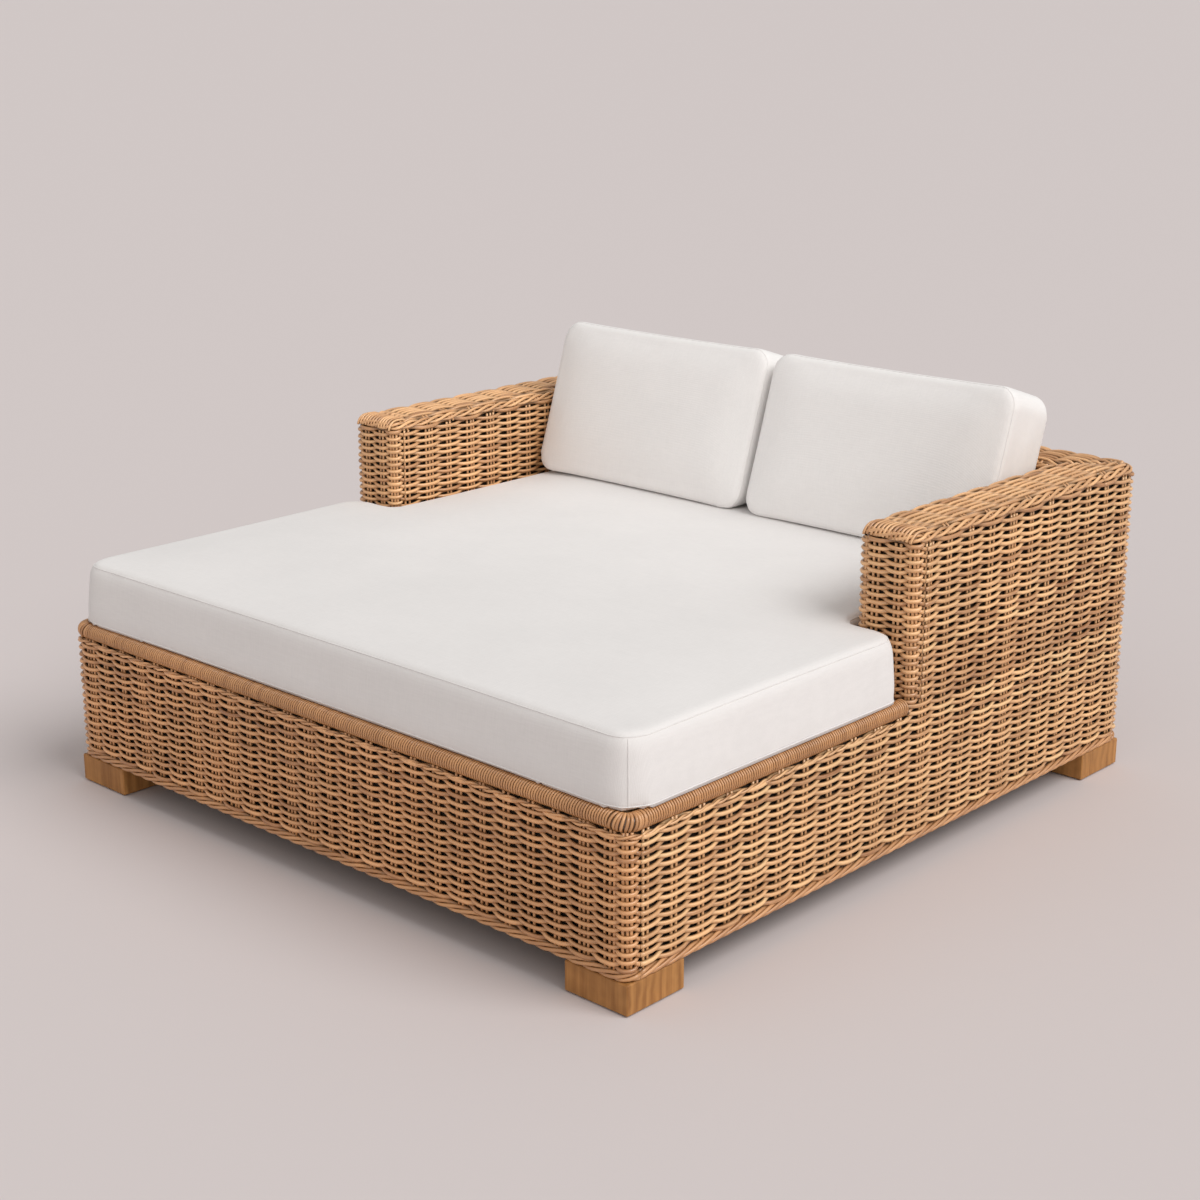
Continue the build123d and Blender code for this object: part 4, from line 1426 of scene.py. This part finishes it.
def fill_cover(thing, *, cell, inset, cap, draw, pressure, passes, across, rounds):
    """Remeshes a cover, fills it by a cloth simulation with a limit on its swell and draw, and smooths it.

    Its broad faces lie across one direction, and they are evened out last."""
    apply_modifier(thing, "REMESH", mode="VOXEL", voxel_size=cell, use_smooth_shade=True)
    normals = points_of(thing, "normal")
    sewn = points_of(thing)
    rest = sewn - inset * normals
    set_points(thing, rest)
    scene = bpy.context.scene
    cloth = thing.modifiers.new("filling", "CLOTH")
    for key, value in CLOTH.items():
        setattr(cloth.settings, key, value)
    cloth.settings.uniform_pressure_force = pressure
    cloth.settings.effector_weights.gravity = 0.0
    cloth.point_cache.frame_start, cloth.point_cache.frame_end = 1, FILLING_FRAMES
    for number in range(1, FILLING_FRAMES + 1):
        scene.frame_set(number)
    only(thing)
    bpy.ops.object.modifier_apply(modifier=cloth.name)
    scene.frame_set(1)
    moved = points_of(thing) - rest
    length = np.linalg.norm(moved, axis=1)[:, None] + 1e-9
    set_points(thing, rest + moved * np.minimum(1.0, cap / length))
    for iterations in passes:
        hold_shape(thing, sewn, normals, draw)
        apply_modifier(thing, "SMOOTH", factor=0.5, iterations=iterations)
    even_out(thing, np.abs(normals @ np.array(across)) > BROAD, rounds)
    apply_modifier(thing, "SUBSURF", levels=1, render_levels=1)
    only(thing)
    bpy.ops.object.shade_smooth()


def even_out(thing, broad, rounds):
    """Evens out the broad faces of a cover, less and less towards their edges."""
    mesh = thing.data
    pairs = np.zeros(len(mesh.edges) * 2, dtype=np.int32)
    mesh.edges.foreach_get("vertices", pairs)
    first, second = pairs.reshape(-1, 2).T
    count = len(mesh.vertices)
    ways = np.bincount(first, minlength=count) + np.bincount(second, minlength=count)

    def middle(values):
        return (np.bincount(first, values[second], count) + np.bincount(second, values[first], count)) / ways

    free = broad.astype(float)
    for _ in range(4):
        free = free * middle(free)
    places = points_of(thing)
    for _ in range(rounds):
        middles = np.stack([middle(places[:, axis]) for axis in range(3)], axis=1)
        places += 0.6 * free[:, None] * (middles - places)
    set_points(thing, places)


def hold_shape(thing, sewn, normals, draw):
    """Brings cloth that was drawn in too far back out over its filling."""
    places = points_of(thing)
    swell = np.einsum("ij,ij->i", places - sewn, normals)
    set_points(thing, places + np.maximum(0.0, -draw - swell)[:, None] * normals)


SEAM_LIFT, SEAM_MERGE = 0.0002, 0.0015


def seam(cover, name, plane_point, plane_normal, within=None):
    """A folded seam along the cut of a cover with a plane, where within holds."""
    only(cover)
    bpy.ops.object.duplicate()
    line = bpy.context.active_object
    line.name = name
    bpy.ops.object.mode_set(mode="EDIT")
    bpy.ops.mesh.select_mode(type="VERT")
    bpy.ops.mesh.select_all(action="SELECT")
    bpy.ops.mesh.bisect(plane_co=plane_point, plane_no=plane_normal, clear_inner=True, clear_outer=True)
    bpy.ops.mesh.select_all(action="SELECT")
    bpy.ops.mesh.remove_doubles(threshold=SEAM_MERGE)
    bpy.ops.mesh.select_all(action="DESELECT")
    bpy.ops.object.mode_set(mode="OBJECT")
    if within is not None:
        line.data.vertices.foreach_set("select", ~within(points_of(line)))
        bpy.ops.object.mode_set(mode="EDIT")
        bpy.ops.mesh.delete(type="VERT")
        bpy.ops.object.mode_set(mode="OBJECT")
    places, sewn = points_of(line), points_of(cover)
    outward = places - (sewn.min(axis=0) + sewn.max(axis=0)) / 2
    outward -= np.outer(outward @ np.array(plane_normal), plane_normal)
    outward /= np.linalg.norm(outward, axis=1)[:, None] + 1e-9
    set_points(line, places + SEAM_LIFT * outward)
    only(line)
    bpy.ops.object.convert(target="CURVE")
    line = bpy.context.active_object
    line.data.bevel_depth = bpy.context.scene.daybed_cushions.seam_radius
    line.data.bevel_resolution = 1
    line.data.use_fill_caps = True
    bpy.ops.object.convert(target="MESH")
    bpy.ops.object.shade_smooth()
    return bpy.context.active_object


def join_seams(cover, seams, material):
    """Joins the seams to their cover, in one material."""
    for line in seams:
        line.data.materials.clear()
    bpy.ops.object.select_all(action="DESELECT")
    for line in seams:
        line.select_set(True)
    cover.select_set(True)
    bpy.context.view_layer.objects.active = cover
    bpy.ops.object.join()
    cover.data.materials.clear()
    cover.data.materials.append(material)


class DAYBED_OT_sew_seat(bpy.types.Operator):
    """Fill and sew the seat cushion"""

    bl_idname = "daybed.sew_seat"
    bl_label = "Sew the seat cushion"

    TOP_SEAM, FOOT_SEAM = 0.0125, 0.006
    CORNER, CORNER_REACH = 0.013, 0.03
    FOOT_HEIGHT, FOOT_ROUND, FOOT_FLAT = 0.030, 0.020, 0.004
    FLARE, FLARE_MORE, FLARE_TOP, WALL_REACH = 0.008, 0.014, 0.012, 0.05

    def execute(self, context):
        settings, finish = context.scene.daybed_cushions, context.scene.daybed_finish
        low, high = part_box("seat_cushion_cover")
        cover = outer_shell("seat_cushion_cover", "seat_cushion")
        fill_cover(cover, cell=settings.seat_cell, inset=settings.start_inset, cap=settings.seat_cap,
                   draw=settings.seat_draw, pressure=settings.pressure, passes=(4, 2), across=UP, rounds=40)
        self.spread_foot(cover, low, high)
        linen = shared_material("Linen", linen_material, tuple(finish.linen))
        seam_z, foot_z = high.z - self.TOP_SEAM, low.z + self.FOOT_SEAM
        seams = []
        for number, height in enumerate((seam_z, foot_z)):
            seams.append(seam(cover, f"seat_seam_{number}", (0, 0, height), (0, 0, 1)))
        for side in (-1, 1):
            corner = np.array([side * (high.x - self.CORNER), low.y + self.CORNER])
            across = (sqrt(0.5), side * sqrt(0.5), 0.0)

            def near_corner(points):
                level = (points[:, 2] > foot_z) & (points[:, 2] < seam_z)
                return level & (np.linalg.norm(points[:, :2] - corner, axis=1) < self.CORNER_REACH)

            seams.append(seam(cover, f"seat_corner_seam_{side + 1}", (*corner, 0.0), across, near_corner))
        join_seams(cover, seams, linen)
        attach(cover, "seat_cushion")
        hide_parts("seat_cushion_cover")
        return {"FINISHED"}

    def spread_foot(self, cover, low, high):
        """Sharpens the foot's edge and brings it out over the rim's roll, as the weight of the filling does."""
        places, normals = points_of(cover), points_of(cover, "normal")
        level = normals[:, :2]
        length = np.linalg.norm(level, axis=1)
        slope = np.arccos(np.clip(length, 0.0, 1.0))
        steep = slope < pi / 4
        flatter = np.clip(1 / np.tan(np.maximum(slope, 0.1)) - np.cos(slope), 0.0, 1.0)
        spread = np.where(steep, 1 - np.cos(slope), flatter)
        sink = np.where(steep, np.tan(slope) - np.sin(slope), 1 - np.sin(slope))
        near = (places[:, 2] < low.z + self.FOOT_HEIGHT) & (normals[:, 2] < 0.02)
        radius = self.FOOT_ROUND * near
        places[:, :2] += (radius * spread)[:, None] * level / (length[:, None] + 1e-9)
        places[:, 2] = np.maximum(places[:, 2] - radius * sink, low.z)
        places[places[:, 2] < low.z + self.FOOT_FLAT, 2] = low.z
        unit = level / (length[:, None] + 1e-9) * np.clip(length[:, None] * 4, 0.0, 1.0)
        raised = (places[:, 2] - low.z) / (high.z - self.FLARE_TOP - low.z)
        flare = self.FLARE + self.FLARE_MORE * np.clip(1 - raised, 0.0, 1.0)
        places[:, 0] += flare * unit[:, 0] * (np.abs(places[:, 0]) > high.x - self.WALL_REACH)
        places[:, 1] += flare * unit[:, 1] * (places[:, 1] < low.y + self.WALL_REACH)
        set_points(cover, places)


class DAYBED_OT_sew_back(bpy.types.Operator):
    """Fill and sew the two back cushions"""

    bl_idname = "daybed.sew_back"
    bl_label = "Sew the back cushions"

    SEAT_CLEAR = 0.0003
    FRONT_PANEL, REAR_PANEL = 0.028, 0.024

    def execute(self, context):
        settings, finish = context.scene.daybed_cushions, context.scene.daybed_finish
        # The paler linen paints light onto the back cushions.
        linen = shared_material("Linen of the backs in painted light", linen_material, tuple(finish.back_linen_painted_light))
        for side in ("left", "right"):
            node = f"{side}_back_cushion_cover"
            cover = outer_shell(node, f"{side}_back_cushion")
            fill_cover(cover, cell=settings.back_cell, inset=settings.start_inset, cap=settings.back_cap,
                       draw=settings.back_draw, pressure=settings.pressure, passes=(14, 4),
                       across=LEAN_BACK, rounds=70)
            places = points_of(cover)
            places[:, 2] = np.maximum(places[:, 2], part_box(node)[0].z + self.SEAT_CLEAR)
            set_points(cover, places)
            join_seams(cover, self.seams(cover, side), linen)
            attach(cover, f"{side}_back_cushion")
            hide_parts(node)
        return {"FINISHED"}

    def seams(self, cover, side):
        """Seams round the front and rear panels, along planes that follow the lean."""
        depth = points_of(cover) @ np.array(LEAN_BACK)
        front, rear = np.percentile(depth, 0.2), np.percentile(depth, 99.8)
        lines = []
        for number, place in enumerate((front + self.FRONT_PANEL, rear - self.REAR_PANEL)):
            point = tuple(place * share for share in LEAN_BACK)
            lines.append(seam(cover, f"{side}_back_seam_{number}", point, LEAN_BACK))
        return lines


# Stage

class DAYBED_OT_stage(bpy.types.Operator):
    """Set out the floor, the light and the camera"""

    bl_idname = "daybed.stage"
    bl_label = "Set the stage"

    FLOOR_RADIUS = 150.0
    BACKDROP = (0.655, 0.590, 0.568, 1.0)
    KEY_COLOUR, FILL_COLOUR = (1.0, 0.990, 0.975), (1.0, 0.885, 0.795)
    PANEL_PLACE, PANEL_TARGET = (0.0, -1.20, 1.30), (0.0, 0.45, 0.72)
    PANEL_SIZE, PANEL_SPREAD = (1.3, 0.4), radians(50)

    def execute(self, context):
        settings = context.scene.daybed_stage
        scene = context.scene
        bpy.ops.object.select_all(action="DESELECT")
        bpy.ops.mesh.primitive_circle_add(vertices=96, radius=self.FLOOR_RADIUS, fill_type="NGON")
        floor = context.active_object
        floor.name = "studio_floor"
        material, _, shader, _ = new_material("Studio floor", 0.95)
        shader.inputs["Base Color"].default_value = (*settings.floor_colour, 1.0)
        shader.inputs["Specular IOR Level"].default_value = 0.15
        floor.data.materials.append(material)

        world = bpy.data.worlds.new("Studio")
        world.use_nodes = True
        tree = world.node_tree
        light = tree.nodes["Background"]
        light.inputs["Color"].default_value = (1.0, 1.0, 1.0, 1.0)
        light.inputs["Strength"].default_value = settings.sky_strength
        shown = add(tree, "ShaderNodeBackground")
        shown.inputs["Color"].default_value = self.BACKDROP
        path = add(tree, "ShaderNodeLightPath")
        mix = add(tree, "ShaderNodeMixShader")
        tree.links.new(path.outputs["Is Camera Ray"], mix.inputs[0])
        tree.links.new(light.outputs[0], mix.inputs[1])
        tree.links.new(shown.outputs[0], mix.inputs[2])
        tree.links.new(mix.outputs[0], tree.nodes["World Output"].inputs["Surface"])
        scene.world = world

        self.sun("key_light", settings.key_from, settings.key_strength, settings.key_angle, self.KEY_COLOUR)
        self.sun("fill_light", settings.fill_from, settings.fill_strength, settings.fill_angle, self.FILL_COLOUR)
        self.panel(settings)

        camera_data = bpy.data.cameras.new("photo_camera")
        camera = bpy.data.objects.new("photo_camera", camera_data)
        scene.collection.objects.link(camera)
        camera.location = settings.camera_place
        camera.rotation_euler = (QUARTER - settings.camera_tilt, 0.0, settings.camera_turn)
        camera_data.lens = settings.lens
        camera_data.sensor_width = 36.0
        camera_data.clip_end = 400.0
        scene.camera = camera
        scene.view_settings.view_transform = "Standard"
        return {"FINISHED"}

    def panel(self, settings):
        """A small soft panel in front that lights the back cushions."""
        place, target = Vector(self.PANEL_PLACE), Vector(self.PANEL_TARGET)
        bpy.ops.object.light_add(type="AREA", location=place)
        light = bpy.context.active_object
        light.name = "back_panel"
        light.data.shape = "RECTANGLE"
        light.data.size, light.data.size_y = self.PANEL_SIZE
        light.data.energy = settings.panel_strength
        light.data.spread = self.PANEL_SPREAD
        light.visible_camera = False
        light.rotation_euler = (place - target).to_track_quat("Z", "Y").to_euler()

    def sun(self, name, source, strength, angle, colour):
        """A soft light from one side."""
        direction = Vector(source)
        bpy.ops.object.light_add(type="SUN", location=direction * 4)
        light = bpy.context.active_object
        light.name = name
        light.data.energy = strength
        light.data.angle = angle
        light.data.color = colour
        light.rotation_euler = direction.to_track_quat("Z", "Y").to_euler()


class DAYBED_PT_panel(bpy.types.Panel):
    """Lists the steps that dress the daybed"""

    bl_label = "Rattan daybed"
    bl_idname = "DAYBED_PT_panel"
    bl_space_type = "VIEW_3D"
    bl_region_type = "UI"
    bl_category = "Daybed"

    def draw(self, context):
        for operator in OPERATORS:
            self.layout.operator(operator.bl_idname)


SETTINGS = {
    "daybed_weave": WeaveSettings,
    "daybed_edges": EdgeSettings,
    "daybed_cushions": CushionSettings,
    "daybed_finish": FinishSettings,
    "daybed_stage": StageSettings,
}
OPERATORS = (
    DAYBED_OT_weave_base,
    DAYBED_OT_weave_surround,
    DAYBED_OT_wind_rim,
    DAYBED_OT_braid_foot,
    DAYBED_OT_finish_frame,
    DAYBED_OT_sew_seat,
    DAYBED_OT_sew_back,
    DAYBED_OT_stage,
)


def register():
    """Registers the settings, the steps and the panel."""
    for kind in (*SETTINGS.values(), *OPERATORS, DAYBED_PT_panel):
        bpy.utils.register_class(kind)
    for name, kind in SETTINGS.items():
        setattr(bpy.types.Scene, name, PointerProperty(type=kind))


def unregister():
    """Takes the settings, the steps and the panel away again."""
    for name in SETTINGS:
        delattr(bpy.types.Scene, name)
    for kind in reversed((*SETTINGS.values(), *OPERATORS, DAYBED_PT_panel)):
        bpy.utils.unregister_class(kind)


def main():
    """Dresses the whole daybed."""
    register()
    bpy.ops.daybed.stage()
    bpy.ops.daybed.weave_base()
    bpy.ops.daybed.weave_surround()
    bpy.ops.daybed.wind_rim()
    bpy.ops.daybed.braid_foot()
    bpy.ops.daybed.finish_frame()
    bpy.ops.daybed.sew_seat()
    bpy.ops.daybed.sew_back()


if __name__ == "__main__":
    main()
